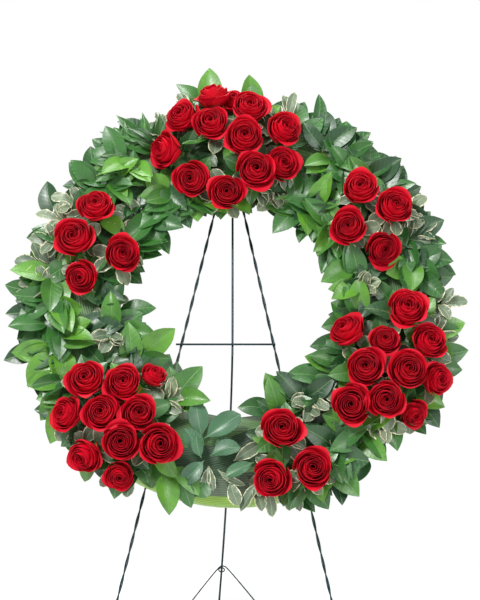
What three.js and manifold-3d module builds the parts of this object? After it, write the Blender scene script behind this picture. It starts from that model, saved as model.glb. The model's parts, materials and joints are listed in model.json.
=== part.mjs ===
// A funeral wreath of red roses and mixed greens on a folding wire easel.
// Millimetres, +Z up, the wreath faces -Y. The origin is on the floor, under the
// middle of the whole object.

import * as THREE from 'three';
import { mergeVertices } from 'three/addons/utils/BufferGeometryUtils.js';
import Module from 'manifold-3d';

const wasm = await Module();
wasm.setup();

// ---------------------------------------------------------------- dimensions

const GAP = 0.3;                     // clearance between pieces that touch

// Easel. Frame coordinates: x to the right, y back, z up the leaning frame,
// from the line between the two front feet.
const EASEL = {
  leanDeg: 12,                       // the front frame and the wreath lean back
  apex: { x: -8, z: 732 },           // where the two front legs would meet
  legTop: 706,                       // where their wire ends
  leftFoot: -178,
  rightFoot: 147,
  legWire: 2.3,                      // each of the two twisted wires
  twistPitch: 62,
  crossbar: { z: 418, left: -89, right: 61, wire: 3 },
  rod: { x: -3.8, bottom: 402, wire: 3.2 },
  topBar: 652,                       // short bar between the legs, behind the form
  hingeBar: { z: 690, length: 34, wire: 3.4 },
  backWire: 3.4,
  backFootY: 330,                    // the back leg's foot, behind the front feet
  backFootX: -26,
  vee: { height: 59, left: -72, right: 34, top: 12, centre: -20, wire: 2.1 },
};
const LEAN = THREE.MathUtils.degToRad(EASEL.leanDeg);

// Wreath form, a 24 inch foam ring wrapped in aspidistra leaves.
const FORM = {
  inner: 170,
  outer: 305,
  depth: 56,
  wrap: 3,
  segments: 28,
};
const FORM_MID = (FORM.inner + FORM.outer) / 2;
const FORM_HALF = (FORM.outer - FORM.inner) / 2;
// The form's centre in frame coordinates: its back rests on the legs.
const WREATH_AT = new THREE.Vector3(0, -(EASEL.legWire + GAP + FORM.depth / 2), 472);

// Roses.
const ROSE = {
  headRadius: 27.5,
  stemRadius: 2.6,
  stemDepth: 28,                     // how far a cut stem goes into the foam
  domeRadius: 125,                   // a cluster's roses face out from a dome
};
// One line a rose: x and z across the wreath, height in front of the form's
// middle, size, and how far it turns out (1 follows the dome).
const CLUSTERS = {
  top: {
    centre: [-5, 236],
    roses: [
      [-33, 316, 52, 1.0, 2.0],
      [-80, 279, 60, 0.98, 0.8],
      [-36, 260, 82, 1.04, 0.5],
      [-104, 226, 58, 1.06, 1.5],
      [-64, 177, 64, 1.0, 0.5],
      [-12, 155, 68, 0.98, 0.3],
      [14, 236, 88, 1.06, 0.4],
      [-2, 312, 44, 0.8, 1.0],
      [22, 291, 70, 1.0, 0.5],
      [73, 257, 68, 1.04, 0.7],
      [70, 202, 62, 1.0, 0.5],
      [30, 184, 86, 1.06, 0.3],
    ],
  },
  upperRight: {
    centre: [205, 112],
    roses: [
      [186, 158, 76, 1.0, 0.5],
      [236, 131, 72, 1.02, 0.7],
      [168, 100, 70, 1.0, 0.7],
      [219, 69, 60, 0.98, 1.4],
    ],
  },
  upperLeft: {
    centre: [-205, 78],
    roses: [
      [-207, 131, 72, 1.0, 0.6],
      [-236, 84, 64, 1.12, 0.9],
      [-166, 57, 70, 1.0, 0.8],
      [-226, 25, 60, 0.9, 1.0],
    ],
  },
  lowerLeft: {
    centre: [-165, -188],
    roses: [
      [-212, -134, 76, 1.04, 0.4],
      [-159, -139, 74, 1.04, 0.5],
      [-118, -122, 50, 0.72, 1.2],
      [-240, -181, 60, 0.94, 1.3],
      [-189, -184, 84, 1.0, 0.4],
      [-136, -184, 78, 1.0, 0.5],
      [-212, -240, 56, 1.0, 1.7],
      [-160, -226, 84, 1.02, 0.5],
      [-108, -228, 80, 1.08, 0.6],
      [-163, -268, 54, 0.8, 1.0],
    ],
  },
  right: {
    centre: [222, -108],
    roses: [
      [248, -31, 82, 1.1, 0.4],
      [163, -57, 58, 1.0, 1.5],
      [216, -74, 72, 0.84, 0.3],
      [280, -76, 68, 0.98, 0.6],
      [187, -116, 78, 1.04, 0.4],
      [247, -122, 86, 1.1, 0.3],
      [290, -128, 52, 0.92, 1.4],
      [166, -170, 74, 1.06, 0.4],
      [214, -164, 80, 0.98, 0.4],
      [256, -178, 50, 0.8, 1.2],
    ],
  },
  bottom: {
    centre: [78, -245],
    roses: [
      [67, -207, 78, 1.1, 0.3],
      [53, -274, 60, 1.02, 1.5],
      [108, -261, 72, 1.06, 0.6],
    ],
  },
};

// Greens. Each kind of leaf: its length, width, how many side leaves stand on a
// sprig, and how far they spread from it.
const LEAF_KINDS = {
  salal: { length: 68, width: 37, side: 1, spreadDeg: 50 },
  ruscus: { length: 52, width: 19, side: 2, spreadDeg: 42 },
  pittosporum: { length: 36, width: 20, side: 2, spreadDeg: 58 },
};
const SPINE = { outer: 268, inner: 188, outerHeight: 31, innerHeight: 25, wire: 1.5 };
const TWIG = 1.3;
const LEAF_THICK = 1.3;

// One line a sprig: kind, clock angle of its foot on the spine, then the clock
// angle, radius and height of its tip. Angles are anticlockwise from the right.
const OUTER_SPRIGS = [
  ['salal', 8, 6, 326, 34], ['salal', 16, 1, 300, 40], ['salal', 20, 14, 316, 30],
  ['pittosporum', 19, 22, 326, 36], ['pittosporum', 25, 29, 330, 38],
  ['salal', 32, 37, 316, 26], ['salal', 35, 43, 336, 30], ['salal', 44, 50, 322, 34],
  ['salal', 52, 59, 332, 34], ['salal', 60, 65, 332, 36], ['salal', 48, 55, 236, 52],
  ['salal', 57, 49, 214, 48], ['salal', 12, 9, 226, 50], ['salal', 40, 48, 232, 44],
  ['salal', 70, 73, 332, 30], ['pittosporum', 77, 78, 316, 40], ['salal', 83, 86, 350, 34],
  ['salal', 98, 96, 366, 34], ['salal', 104, 103, 334, 30], ['pittosporum', 107, 107, 320, 40],
  ['pittosporum', 112, 112, 322, 36], ['ruscus', 116, 117, 320, 44], ['ruscus', 118, 122, 344, 40],
  ['ruscus', 124, 128, 336, 38], ['ruscus', 130, 134, 312, 30], ['salal', 127, 135, 322, 28],
  ['salal', 126, 132, 238, 50], ['salal', 136, 128, 220, 48], ['salal', 140, 146, 300, 36],
  ['salal', 138, 142, 230, 46], ['pittosporum', 148, 150, 320, 38], ['pittosporum', 154, 156, 328, 34],
  ['pittosporum', 161, 163, 322, 34],
  ['pittosporum', 169, 170, 334, 34], ['pittosporum', 175, 176, 322, 34], ['salal', 172, 181, 310, 36],
  ['salal', 178, 187, 306, 42], ['salal', 180, 191, 326, 30], ['salal', 187, 196, 330, 34],
  ['salal', 182, 185, 224, 48], ['salal', 193, 190, 214, 46], ['salal', 196, 204, 330, 30],
  ['salal', 206, 213, 336, 28], ['salal', 212, 219, 344, 24], ['salal', 222, 229, 320, 22],
  ['salal', 236, 240, 344, 34], ['salal', 244, 247, 306, 26], ['salal', 248, 254, 334, 36],
  ['salal', 262, 258, 300, 34],
  ['pittosporum', 268, 271, 308, 36], ['pittosporum', 274, 277, 318, 36],
  ['pittosporum', 281, 283, 316, 34], ['pittosporum', 287, 288, 312, 34],
  ['salal', 290, 293, 340, 32], ['salal', 297, 301, 344, 34], ['salal', 300, 308, 312, 42],
  ['salal', 302, 307, 236, 50], ['salal', 313, 305, 218, 48], ['salal', 312, 318, 306, 38],
  ['pittosporum', 316, 321, 318, 44], ['salal', 322, 326, 336, 30], ['salal', 327, 332, 346, 28],
  ['salal', 336, 342, 350, 30], ['salal', 342, 347, 352, 32], ['pittosporum', 348, 350, 334, 34],
  ['salal', 348, 354, 342, 30], ['pittosporum', 357, 359, 344, 36],
];
const INNER_SPRIGS = [
  ['salal', 8, 14, 158, 36], ['salal', 16, 24, 158, 34], ['salal', 28, 33, 160, 28],
  ['salal', 36, 43, 158, 34], ['salal', 46, 52, 142, 34], ['salal', 54, 61, 116, 36],
  ['pittosporum', 70, 76, 140, 40], ['pittosporum', 76, 84, 146, 34], ['salal', 92, 100, 128, 30],
  ['salal', 108, 115, 134, 32], ['salal', 116, 124, 146, 36], ['salal', 124, 131, 150, 30],
  ['salal', 134, 143, 136, 38], ['salal', 150, 158, 150, 30], ['salal', 120, 126, 232, 46],
  ['salal', 50, 42, 224, 50], ['pittosporum', 4, 6, 216, 50], ['pittosporum', 136, 150, 226, 44],
  ['salal', 196, 189, 138, 32], ['salal', 214, 209, 100, 42], ['salal', 226, 222, 128, 36],
  ['salal', 240, 246, 116, 44], ['pittosporum', 236, 246, 156, 40], ['ruscus', 250, 262, 226, 42],
  ['ruscus', 262, 252, 236, 40], ['ruscus', 268, 259, 176, 36], ['salal', 254, 262, 158, 36],
  ['salal', 290, 300, 158, 34], ['salal', 302, 312, 150, 36], ['salal', 318, 326, 150, 28],
  ['salal', 326, 333, 140, 34], ['salal', 338, 345, 152, 28], ['salal', 350, 358, 142, 32],
  ['pittosporum', 196, 204, 214, 46], ['pittosporum', 306, 298, 214, 46],
];
// The outer greens hang on four lengths of wire and the inner ones on two.
const GREENS = [
  { name: 'greens_outer_upper_right', sprigs: OUTER_SPRIGS, spine: 'outer', from: 2, to: 74 },
  { name: 'greens_outer_upper_left', sprigs: OUTER_SPRIGS, spine: 'outer', from: 76, to: 164 },
  { name: 'greens_outer_lower_left', sprigs: OUTER_SPRIGS, spine: 'outer', from: 166, to: 264 },
  { name: 'greens_outer_lower_right', sprigs: OUTER_SPRIGS, spine: 'outer', from: 266, to: 360 },
  { name: 'greens_inner_top', sprigs: INNER_SPRIGS, spine: 'inner', from: 1, to: 179 },
  { name: 'greens_inner_bottom', sprigs: INNER_SPRIGS, spine: 'inner', from: 181, to: 359 },
];

// ----------------------------------------------------------------- materials

function material(color, roughness, metalness = 0) {
  return new THREE.MeshStandardMaterial({ color, roughness, metalness });
}
const ENAMEL = material(0x12302c, 0.35, 0.5);
const FOAM = material(0x2f5a34, 0.95);
const WRAP = material(0x3f7a35, 0.45);
const PETAL = material(0xb80c1e, 0.6);
const GREEN = material(0x3c7d33, 0.45);

// ------------------------------------------------------------ solid geometry

const rad = THREE.MathUtils.degToRad;
const vec = (x, y, z) => new THREE.Vector3(x, y, z);

// A three.js geometry, placed by a matrix, as a manifold-3d solid facing out.
function solid(geometry, matrix) {
  const bare = geometry.clone();
  bare.deleteAttribute('normal');
  bare.deleteAttribute('uv');
  if (matrix) bare.applyMatrix4(matrix);
  const merged = mergeVertices(bare, 1e-4);
  const points = merged.attributes.position.array;
  const faces = [];
  for (let i = 0; i < merged.index.count; i += 3) {
    const [a, b, c] = [0, 1, 2].map((k) => merged.index.getX(i + k));
    if (a !== b && b !== c && c !== a) faces.push(a, b, c);
  }
  if (signedVolume(points, faces) < 0) faces.reverse();
  const mesh = new wasm.Mesh({
    numProp: 3,
    vertProperties: new Float32Array(points),
    triVerts: new Uint32Array(faces),
  });
  return new wasm.Manifold(mesh);
}

function signedVolume(points, faces) {
  let sum = 0;
  const at = (i) => vec(points[3 * i], points[3 * i + 1], points[3 * i + 2]);
  for (let i = 0; i < faces.length; i += 3) {
    sum += at(faces[i]).dot(at(faces[i + 1]).cross(at(faces[i + 2])));
  }
  return sum;
}

function toGeometry(body) {
  const mesh = body.getMesh();
  const geometry = new THREE.BufferGeometry();
  geometry.setAttribute('position', new THREE.BufferAttribute(mesh.vertProperties, 3));
  geometry.setIndex(new THREE.BufferAttribute(mesh.triVerts, 1));
  return geometry;
}

const join = (bodies) => bodies.reduce((sum, body) => sum.add(body));
const cutAll = (body, cutters) => cutters.reduce((rest, cutter) => rest.subtract(cutter), body);

// The largest of the separate lumps that a cut has left.
function largest(body) {
  const lumps = body.decompose();
  lumps.sort((a, b) => b.volume() - a.volume());
  return lumps[0];
}

function regularShape(radius, sides) {
  const corners = [];
  for (let i = 0; i < sides; i += 1) {
    const a = (2 * Math.PI * i) / sides;
    corners.push(new THREE.Vector2(radius * Math.cos(a), radius * Math.sin(a)));
  }
  return new THREE.Shape(corners);
}

// A path that an extrusion follows station by station, through each point.
class Stations extends THREE.Curve {
  constructor(points) {
    super();
    this.points = points;
  }

  getPoint(t, target = new THREE.Vector3()) {
    const place = THREE.MathUtils.clamp(t, 0, 1) * (this.points.length - 1);
    const i = Math.min(Math.floor(place), this.points.length - 2);
    return target.lerpVectors(this.points[i], this.points[i + 1], place - i);
  }

  getPointAt(u, target) {
    return this.getPoint(u, target);
  }

  getTangentAt(u, target) {
    return this.getTangent(u, target);
  }
}

// A round wire or stem with a section at each of the points.
function wire(points, radius, sides = 8) {
  const extrudePath = new Stations(points);
  const steps = points.length - 1;
  return solid(new THREE.ExtrudeGeometry(regularShape(radius, sides), { steps, extrudePath }));
}

// Evenly spaced points of a smooth curve through a few given ones.
const smooth = (points, steps) => new THREE.CatmullRomCurve3(points, false, 'centripetal').getSpacedPoints(steps);

// --------------------------------------------------------------------- easel

const frameToWorld = new THREE.Matrix4().makeRotationX(-LEAN);

// Everything under the floor, in frame coordinates.
function underFloor() {
  const box = new THREE.BoxGeometry(2000, 2000, 200);
  const place = new THREE.Matrix4().makeTranslation(0, 0, -100);
  return solid(box, frameToWorld.clone().invert().multiply(place));
}

// x of a front leg's middle line at a height up the frame.
function legX(footX, z) {
  return footX + ((EASEL.apex.x - footX) * z) / EASEL.apex.z;
}

// Two wires twisted round each other: a flattened section that turns.
function twistedLeg(footX) {
  const below = -8;
  const from = vec(legX(footX, below), 0, below);
  const to = vec(legX(footX, EASEL.legTop), 0, EASEL.legTop);
  const length = from.distanceTo(to);
  const [wide, narrow] = [EASEL.legWire, EASEL.legWire * 0.5];
  const section = new THREE.Shape([[-wide, 0], [0, -narrow], [wide, 0], [0, narrow]]
    .map(([x, y]) => new THREE.Vector2(x, y)));
  const stepsPerTurn = 5;
  const steps = Math.round((length / EASEL.twistPitch) * stepsPerTurn);
  const bar = new THREE.ExtrudeGeometry(section, { depth: length, steps, bevelEnabled: false });
  const corners = bar.attributes.position;
  for (let i = 0; i < corners.count; i += 1) {
    const point = vec(corners.getX(i), corners.getY(i), corners.getZ(i));
    point.applyAxisAngle(vec(0, 0, 1), (2 * Math.PI * point.z) / EASEL.twistPitch);
    corners.setXYZ(i, point.x, point.y, point.z);
  }
  const turn = new THREE.Quaternion().setFromUnitVectors(vec(0, 0, 1), to.clone().sub(from).normalize());
  const place = new THREE.Matrix4().compose(from, turn, vec(1, 1, 1));
  return largest(solid(bar, place).subtract(underFloor()));
}

function crossbar() {
  const { z, left, right, wire: thickness } = EASEL.crossbar;
  const y = -(EASEL.legWire + GAP + thickness / 2);
  return wire([vec(left, y, z), vec(right, y, z)], thickness / 2);
}

function topBar() {
  const z = EASEL.topBar;
  const inset = EASEL.legWire + GAP;
  const left = vec(legX(EASEL.leftFoot, z) + inset, 0, z);
  const right = vec(legX(EASEL.rightFoot, z) - inset, 0, z);
  return wire([left, right], EASEL.rod.wire / 2);
}

function centreRod() {
  const { x, bottom, wire: thickness } = EASEL.rod;
  const top = EASEL.topBar - thickness / 2 - GAP;
  return wire([vec(x, 0, bottom), vec(x, 0, top)], thickness / 2);
}

// A hook welded on the front of the centre rod: it runs forward under the top
// of the form's hole and turns up in front of it.
function wreathHook(grow = 0) {
  const radius = EASEL.rod.wire / 2;
  const under = WREATH_AT.z + FORM.inner - radius - GAP;
  const x = EASEL.rod.x;
  const weld = -(2 * radius + 2 * GAP);
  const path = [
    vec(x, weld, under - 44), vec(x, weld, under - 26), vec(x, weld, under - 10),
    vec(x, weld - 3, under - 3), vec(x, weld - 10, under), vec(x, weld - 46, under),
    vec(x, weld - 56, under + 4), vec(x, weld - 60, under + 16),
  ];
  return wire(smooth(path, 12), radius + grow, 6);
}

function hingeBarAt() {
  const { z, wire: thickness } = EASEL.hingeBar;
  return vec(EASEL.rod.x, EASEL.legWire + GAP + thickness / 2, z);
}

function hingeBar() {
  const middle = hingeBarAt();
  const half = EASEL.hingeBar.length / 2;
  const ends = [-half, half].map((dx) => vec(middle.x + dx, middle.y, middle.z));
  return wire(ends, EASEL.hingeBar.wire / 2);
}

// The back leg's middle line, in world coordinates: straight at first, then
// bowing gently to one side.
function backLegPoint(t) {
  const top = hingeBarAt().applyMatrix4(frameToWorld);
  const foot = vec(EASEL.backFootX, EASEL.backFootY, 0);
  const point = top.clone().lerp(foot, t);
  point.x = top.x + (foot.x - top.x) * Math.max(0, (t - 0.35) / 0.65) ** 1.6;
  return point;
}

function backLeg() {
  const radius = EASEL.backWire / 2;
  const pin = EASEL.hingeBar.wire / 2;
  const eyeRadius = pin + 0.5 + radius;
  const hinge = backLegPoint(0);
  const eye = new THREE.TorusGeometry(eyeRadius, radius, 5, 10);
  const place = new THREE.Matrix4().makeTranslation(hinge.x, hinge.y, hinge.z)
    .multiply(new THREE.Matrix4().makeRotationY(Math.PI / 2));
  const length = hinge.distanceTo(backLegPoint(1));
  const stations = [eyeRadius / length, 0.2, 0.35, 0.5, 0.65, 0.8, 0.9, 1.015];
  const stem = wire(stations.map(backLegPoint), radius);
  const floor = solid(new THREE.BoxGeometry(2000, 2000, 200), new THREE.Matrix4().makeTranslation(0, 0, -100));
  return largest(solid(eye, place).add(stem).subtract(floor));
}

// The wire foot: a V with a flat top in front of the back leg, and an eye that
// goes round the leg.
function backFoot() {
  const { height, left, right, top, centre, wire: thickness } = EASEL.vee;
  const radius = thickness / 2;
  const rise = backLegPoint(0).z;
  const legAt = (z) => backLegPoint(1 - z / rise);
  const front = EASEL.backWire / 2 + radius + GAP + 0.2;
  const at = (x, z) => vec(x, legAt(z).y - front, z);
  const bend = 4;
  const ratio = (z) => 1 - (z + 3) / (height + 3);
  const arm = (footX, topX) => [0, 30].map((z) => at(topX + (footX - topX) * ratio(z - 3), z - 3));
  const topLeft = centre - top / 2;
  const topRight = centre + top / 2;
  const path = [
    ...arm(left, topLeft), at(topLeft - bend * 0.6, height - bend), at(topLeft + bend * 0.5, height),
    at(topRight - bend * 0.5, height), at(topRight + bend * 0.6, height - bend), ...arm(right, topRight).reverse(),
  ];
  const vee = wire(path, radius, 6);
  const leg = legAt(height - 6);
  const eye = new THREE.TorusGeometry(front + 1.4, radius, 5, 10);
  const place = new THREE.Matrix4().makeTranslation(leg.x, leg.y, leg.z)
    .multiply(new THREE.Matrix4().makeRotationX(rad(-52)));
  const floor = solid(new THREE.BoxGeometry(2000, 2000, 200), new THREE.Matrix4().makeTranslation(0, 0, -100));
  return largest(vee.add(solid(eye, place)).subtract(floor));
}

// ---------------------------------------------------------------------- form
// Wreath coordinates from here on: x right, z up the wreath's face, and heights
// forward of the form's middle plane, along -y.

const HALF_DEPTH = FORM.depth / 2;

// The wrapped form's section, from its back inner edge round the front to its
// back outer edge: radius and height, drawn in by an inset.
function formSection(inset) {
  const half = FORM_HALF - inset;
  const front = HALF_DEPTH - inset;
  return [
    [-half + 5, -HALF_DEPTH], [-half, front * 0.1], [-half * 0.6, front],
    [half * 0.6, front], [half, front * 0.1], [half - 5, -HALF_DEPTH],
  ].map(([across, height]) => new THREE.Vector2(FORM_MID + across, -height));
}

function ring(section) {
  const outline = [...section, section[0]];
  return solid(new THREE.LatheGeometry(outline, FORM.segments));
}

function wrapSolid(stems, grow = 0) {
  if (grow) return ring(formSection(-grow));
  const outline = [...formSection(0), ...formSection(FORM.wrap).reverse()];
  return largest(cutAll(ring(outline), stems));
}

function foamSolid(stems) {
  return largest(cutAll(ring(formSection(FORM.wrap + GAP + 0.2)), stems));
}

// --------------------------------------------------------------------- roses

const FORWARD = vec(0, -1, 0);
const polar = (deg, radius, height) => vec(radius * Math.cos(rad(deg)), -height, radius * Math.sin(rad(deg)));

const roses = Object.values(CLUSTERS).flatMap(({ centre, roses: spots }) => spots.map((spot) => {
  const [x, z, height, size, turn] = spot;
  const lean = turn / ROSE.domeRadius;
  const axis = vec((x - centre[0]) * lean, -1, (z - centre[1]) * lean).normalize();
  return { at: vec(x, -height, z), axis, size };
}));

// Where a stem enters the form: below its head, drawn in to the form's middle.
function stemFoot(rose) {
  const middle = 222;
  const radius = Math.hypot(rose.at.x, rose.at.z);
  const entry = THREE.MathUtils.clamp(middle + (radius - middle) * 0.35, 200, 256);
  return vec((rose.at.x * entry) / radius, 0, (rose.at.z * entry) / radius);
}

function roseStem(rose, grow = 0) {
  const foot = stemFoot(rose);
  const neck = rose.at.clone().addScaledVector(rose.axis, -0.6 * ROSE.headRadius * rose.size);
  const below = rose.at.clone().addScaledVector(rose.axis, -1.15 * ROSE.headRadius * rose.size);
  const height = (h) => vec(foot.x, -h, foot.z);
  const knee = height(HALF_DEPTH + 8);
  if (-below.y < HALF_DEPTH + 12) below.y = -(HALF_DEPTH + 12);
  const path = [neck, below, knee, height(HALF_DEPTH + 2), height(HALF_DEPTH - ROSE.stemDepth - grow)];
  return wire(path, ROSE.stemRadius + grow, 4);
}

// The head: a cup of petals round a raised bud, turned to face along its axis.
function roseHead(rose, grow = 0) {
  const radius = ROSE.headRadius * rose.size;
  const profile = [
    [0, -0.86], [0.4, -0.74], [0.96, 0], [0.92, 0.5], [0.36, 0.4], [0, 0.62],
  ].map(([r, h]) => new THREE.Vector2(r ? r * radius + grow : 0, h * radius + Math.sign(h) * grow));
  const phase = rose.at.x + rose.at.z;
  const turn = new THREE.Quaternion().setFromUnitVectors(vec(0, 1, 0), rose.axis);
  const place = new THREE.Matrix4().compose(rose.at, turn, vec(1, 1, 1))
    .multiply(new THREE.Matrix4().makeRotationY(phase));
  return solid(new THREE.LatheGeometry(profile, 7), place);
}

const roseSolid = (rose, grow = 0) => roseHead(rose, grow).add(roseStem(rose, grow));

// Each rose gives way to the ones before it, as pressed petals do.
function roseSolids() {
  const fat = roses.map((rose) => roseSolid(rose, GAP));
  const near = (a, b) => a.at.distanceTo(b.at) < 4 * ROSE.headRadius;
  return roses.map((rose, i) => {
    const others = fat.filter((body, j) => j < i && near(rose, roses[j]));
    return largest(cutAll(roseSolid(rose), others));
  });
}

// -------------------------------------------------------------------- greens

// A steady pseudo-random number from 0 to 1 for a whole number.
function chance(seed) {
  const value = Math.sin(seed * 12.9898) * 43758.5453;
  return value - Math.floor(value);
}

// A leaf from base to tip: a shallow folded kite, thickest at its midrib.
function leafSolid(base, tip, width, grow = 0) {
  const along = tip.clone().sub(base);
  const length = along.length();
  along.normalize();
  const side = along.clone().cross(FORWARD).normalize();
  const up = side.clone().cross(along).normalize();
  const at = (t, s, u) => base.clone().addScaledVector(along, t * length)
    .addScaledVector(side, s).addScaledVector(up, u);
  const [widest, half, thick] = [0.42, width / 2 + grow, LEAF_THICK / 2 + grow];
  const fold = 0.14 * width;
  const points = [
    at(-grow / length, 0, 0), at(1 + grow / length, 0, 0),
    at(widest, -half, fold), at(widest, 0, thick), at(widest, half, fold), at(widest, 0, -thick),
  ];
  const faces = [];
  for (let i = 0; i < 4; i += 1) {
    const [a, b] = [2 + i, 2 + ((i + 1) % 4)];
    faces.push(0, a, b, 1, b, a);
  }
  const geometry = new THREE.BufferGeometry();
  geometry.setAttribute('position', new THREE.Float32BufferAttribute(points.flatMap((p) => p.toArray()), 3));
  geometry.setIndex(faces);
  return solid(geometry);
}

// A sprig: a twig from the spine towards its tip, a leaf at its end and leaves
// to either side of it. Each leaf is a base, a tip and a width.
function sprigLayout([kindName, footDeg, tipDeg, tipRadius, tipHeight], spine, seed) {
  const kind = LEAF_KINDS[kindName];
  const foot = polar(footDeg, SPINE[spine], SPINE[`${spine}Height`]);
  const tip = polar(tipDeg, tipRadius, tipHeight);
  const reach = foot.distanceTo(tip);
  const leaf = Math.min(kind.length, 0.85 * reach);
  const end = foot.clone().lerp(tip, 1 - leaf / reach);
  end.y -= 3;
  const leaves = [{ base: end.clone().lerp(foot, 0.1), tip, width: kind.width }];
  const heading = tip.clone().sub(foot).normalize();
  for (let i = 0; i < kind.side; i += 1) {
    const base = foot.clone().lerp(end, (i + 0.7) / (kind.side + 0.2));
    const turn = (i % 2 ? 1 : -1) * rad(kind.spreadDeg * (0.8 + 0.4 * chance(seed + i)));
    const length = kind.length * (0.72 + 0.22 * chance(seed + 7 + i));
    const point = base.clone().addScaledVector(heading.clone().applyAxisAngle(FORWARD, turn), length);
    point.y = Math.min(point.y, base.y) - 2 - 9 * chance(seed + 13 + i);
    leaves.push({ base, tip: point, width: (kind.width * length) / kind.length });
  }
  return { foot, end, leaves };
}

const touches = (body, others) => others.some((other) => body.intersect(other).volume() > 0.01);

// The nearest free place for a leaf: as laid out, or with its tip raised or
// lowered. Nothing comes back where it would cross a rose or another leaf.
function freeLeaf({ base, tip, width }, taken) {
  for (const raise of [0, 6, -6, 12, 18]) {
    const lifted = vec(tip.x, tip.y - raise, tip.z);
    if (!touches(leafSolid(base, lifted, width, GAP), taken)) return { base, tip: lifted, width };
  }
  return null;
}

// The greens: six lengths of spine wire, each with its sprigs. They keep clear
// of the form, the hook and the roses, and a leaf keeps clear of the leaves of
// every other sprig.
function greensSolids() {
  const intoWreath = [-WREATH_AT.x, -WREATH_AT.y, -WREATH_AT.z];
  const taken = [wrapSolid([], GAP), wreathHook(GAP).translate(intoWreath)];
  taken.push(...roses.map((rose) => roseSolid(rose, GAP)));
  const spines = GREENS.map((section) => spineSolid(section));
  return GREENS.map(({ sprigs, spine, from, to }, part) => {
    const bodies = [spines[part]];
    const others = spines.filter((body, i) => i !== part);
    sprigs.forEach((sprig, i) => {
      if (sprig[1] < from || sprig[1] > to) return;
      const { foot, end, leaves } = sprigLayout(sprig, spine, 31 * i);
      const twig = (grow) => wire([foot, end], TWIG + grow, 4);
      if (touches(twig(GAP), [...taken, ...others])) return;
      const placed = leaves.map((leaf) => freeLeaf(leaf, [...taken, ...others])).filter(Boolean);
      if (placed.length === 0) return;
      bodies.push(twig(0), ...placed.map((leaf) => leafSolid(leaf.base, leaf.tip, leaf.width)));
      taken.push(twig(GAP), ...placed.map((leaf) => leafSolid(leaf.base, leaf.tip, leaf.width, GAP)));
    });
    return largest(join(bodies));
  });
}

function spineSolid({ spine, from, to }) {
  const stepDeg = 9;
  const count = Math.round((to - from) / stepDeg);
  const arc = [];
  for (let i = 0; i <= count; i += 1) {
    arc.push(polar(from + ((to - from) * i) / count, SPINE[spine], SPINE[`${spine}Height`]));
  }
  return wire(arc, SPINE.wire, 4);
}

// ------------------------------------------------------------------ assembly

function mesh(name, body, look) {
  const piece = new THREE.Mesh(toGeometry(body), look);
  piece.name = name;
  return piece;
}

const wreath = new THREE.Group();
wreath.position.copy(WREATH_AT);
const pockets = roses.map((rose) => roseStem(rose, GAP));
wreath.add(mesh('foam_ring', foamSolid(pockets), FOAM));
wreath.add(mesh('aspidistra_wrap', wrapSolid(pockets), WRAP));
roseSolids().forEach((body, i) => {
  wreath.add(mesh(`rose_${String(i + 1).padStart(2, '0')}`, body, PETAL));
});
greensSolids().forEach((body, i) => wreath.add(mesh(GREENS[i].name, body, GREEN)));

const frontFrame = new THREE.Group();
frontFrame.rotation.x = -LEAN;
frontFrame.add(mesh('left_leg', twistedLeg(EASEL.leftFoot), ENAMEL));
frontFrame.add(mesh('right_leg', twistedLeg(EASEL.rightFoot), ENAMEL));
frontFrame.add(mesh('crossbar', crossbar(), ENAMEL));
frontFrame.add(mesh('top_bar', topBar(), ENAMEL));
frontFrame.add(mesh('centre_rod', centreRod(), ENAMEL));
frontFrame.add(mesh('wreath_hook', wreathHook(), ENAMEL));
frontFrame.add(mesh('hinge_bar', hingeBar(), ENAMEL));
frontFrame.add(wreath);

const easelBack = new THREE.Group();
easelBack.add(mesh('back_leg', backLeg(), ENAMEL));
easelBack.add(mesh('back_foot', backFoot(), ENAMEL));

const object = new THREE.Group();
object.name = 'funeral_wreath';
object.add(frontFrame, easelBack);

// The origin goes to the floor under the middle of the object.
const bounds = new THREE.Box3().setFromObject(object, true);
object.position.set(-(bounds.min.x + bounds.max.x) / 2, -(bounds.min.y + bounds.max.y) / 2, 0);
object.updateMatrixWorld(true);

export default object;
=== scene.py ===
"""Looks of a wreath of red roses and mixed greens on a folding wire easel.

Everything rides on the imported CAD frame. Sizes are in millimetres, and the places
below turn them to metres. The wreath faces -Y and +Z is up. Points on the wreath
are (x, height, z): x to the right and z up its face, and height forward of the
form's middle plane.
"""

import json
import math

import bpy
import numpy as np
from mathutils import Matrix, Vector


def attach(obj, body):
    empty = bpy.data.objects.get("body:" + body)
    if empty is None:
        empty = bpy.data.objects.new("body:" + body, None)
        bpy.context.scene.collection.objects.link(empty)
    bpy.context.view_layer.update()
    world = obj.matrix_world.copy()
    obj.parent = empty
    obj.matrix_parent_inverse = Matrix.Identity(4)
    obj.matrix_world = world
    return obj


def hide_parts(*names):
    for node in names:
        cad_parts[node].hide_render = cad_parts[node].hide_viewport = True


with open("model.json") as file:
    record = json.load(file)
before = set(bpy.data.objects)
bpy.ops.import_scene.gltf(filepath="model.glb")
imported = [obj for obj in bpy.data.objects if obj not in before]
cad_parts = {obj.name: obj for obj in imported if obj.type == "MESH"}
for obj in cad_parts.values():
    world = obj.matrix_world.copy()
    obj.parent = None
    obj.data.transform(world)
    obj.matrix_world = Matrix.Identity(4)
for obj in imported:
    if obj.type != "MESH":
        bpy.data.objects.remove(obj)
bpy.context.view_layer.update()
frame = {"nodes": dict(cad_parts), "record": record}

MM = 0.001
FRONT = "front_frame"
BACK = "back_leg"

# ------------------------------------------------------------------ dimensions
# The same named values as the part's source, in millimetres.

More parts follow.
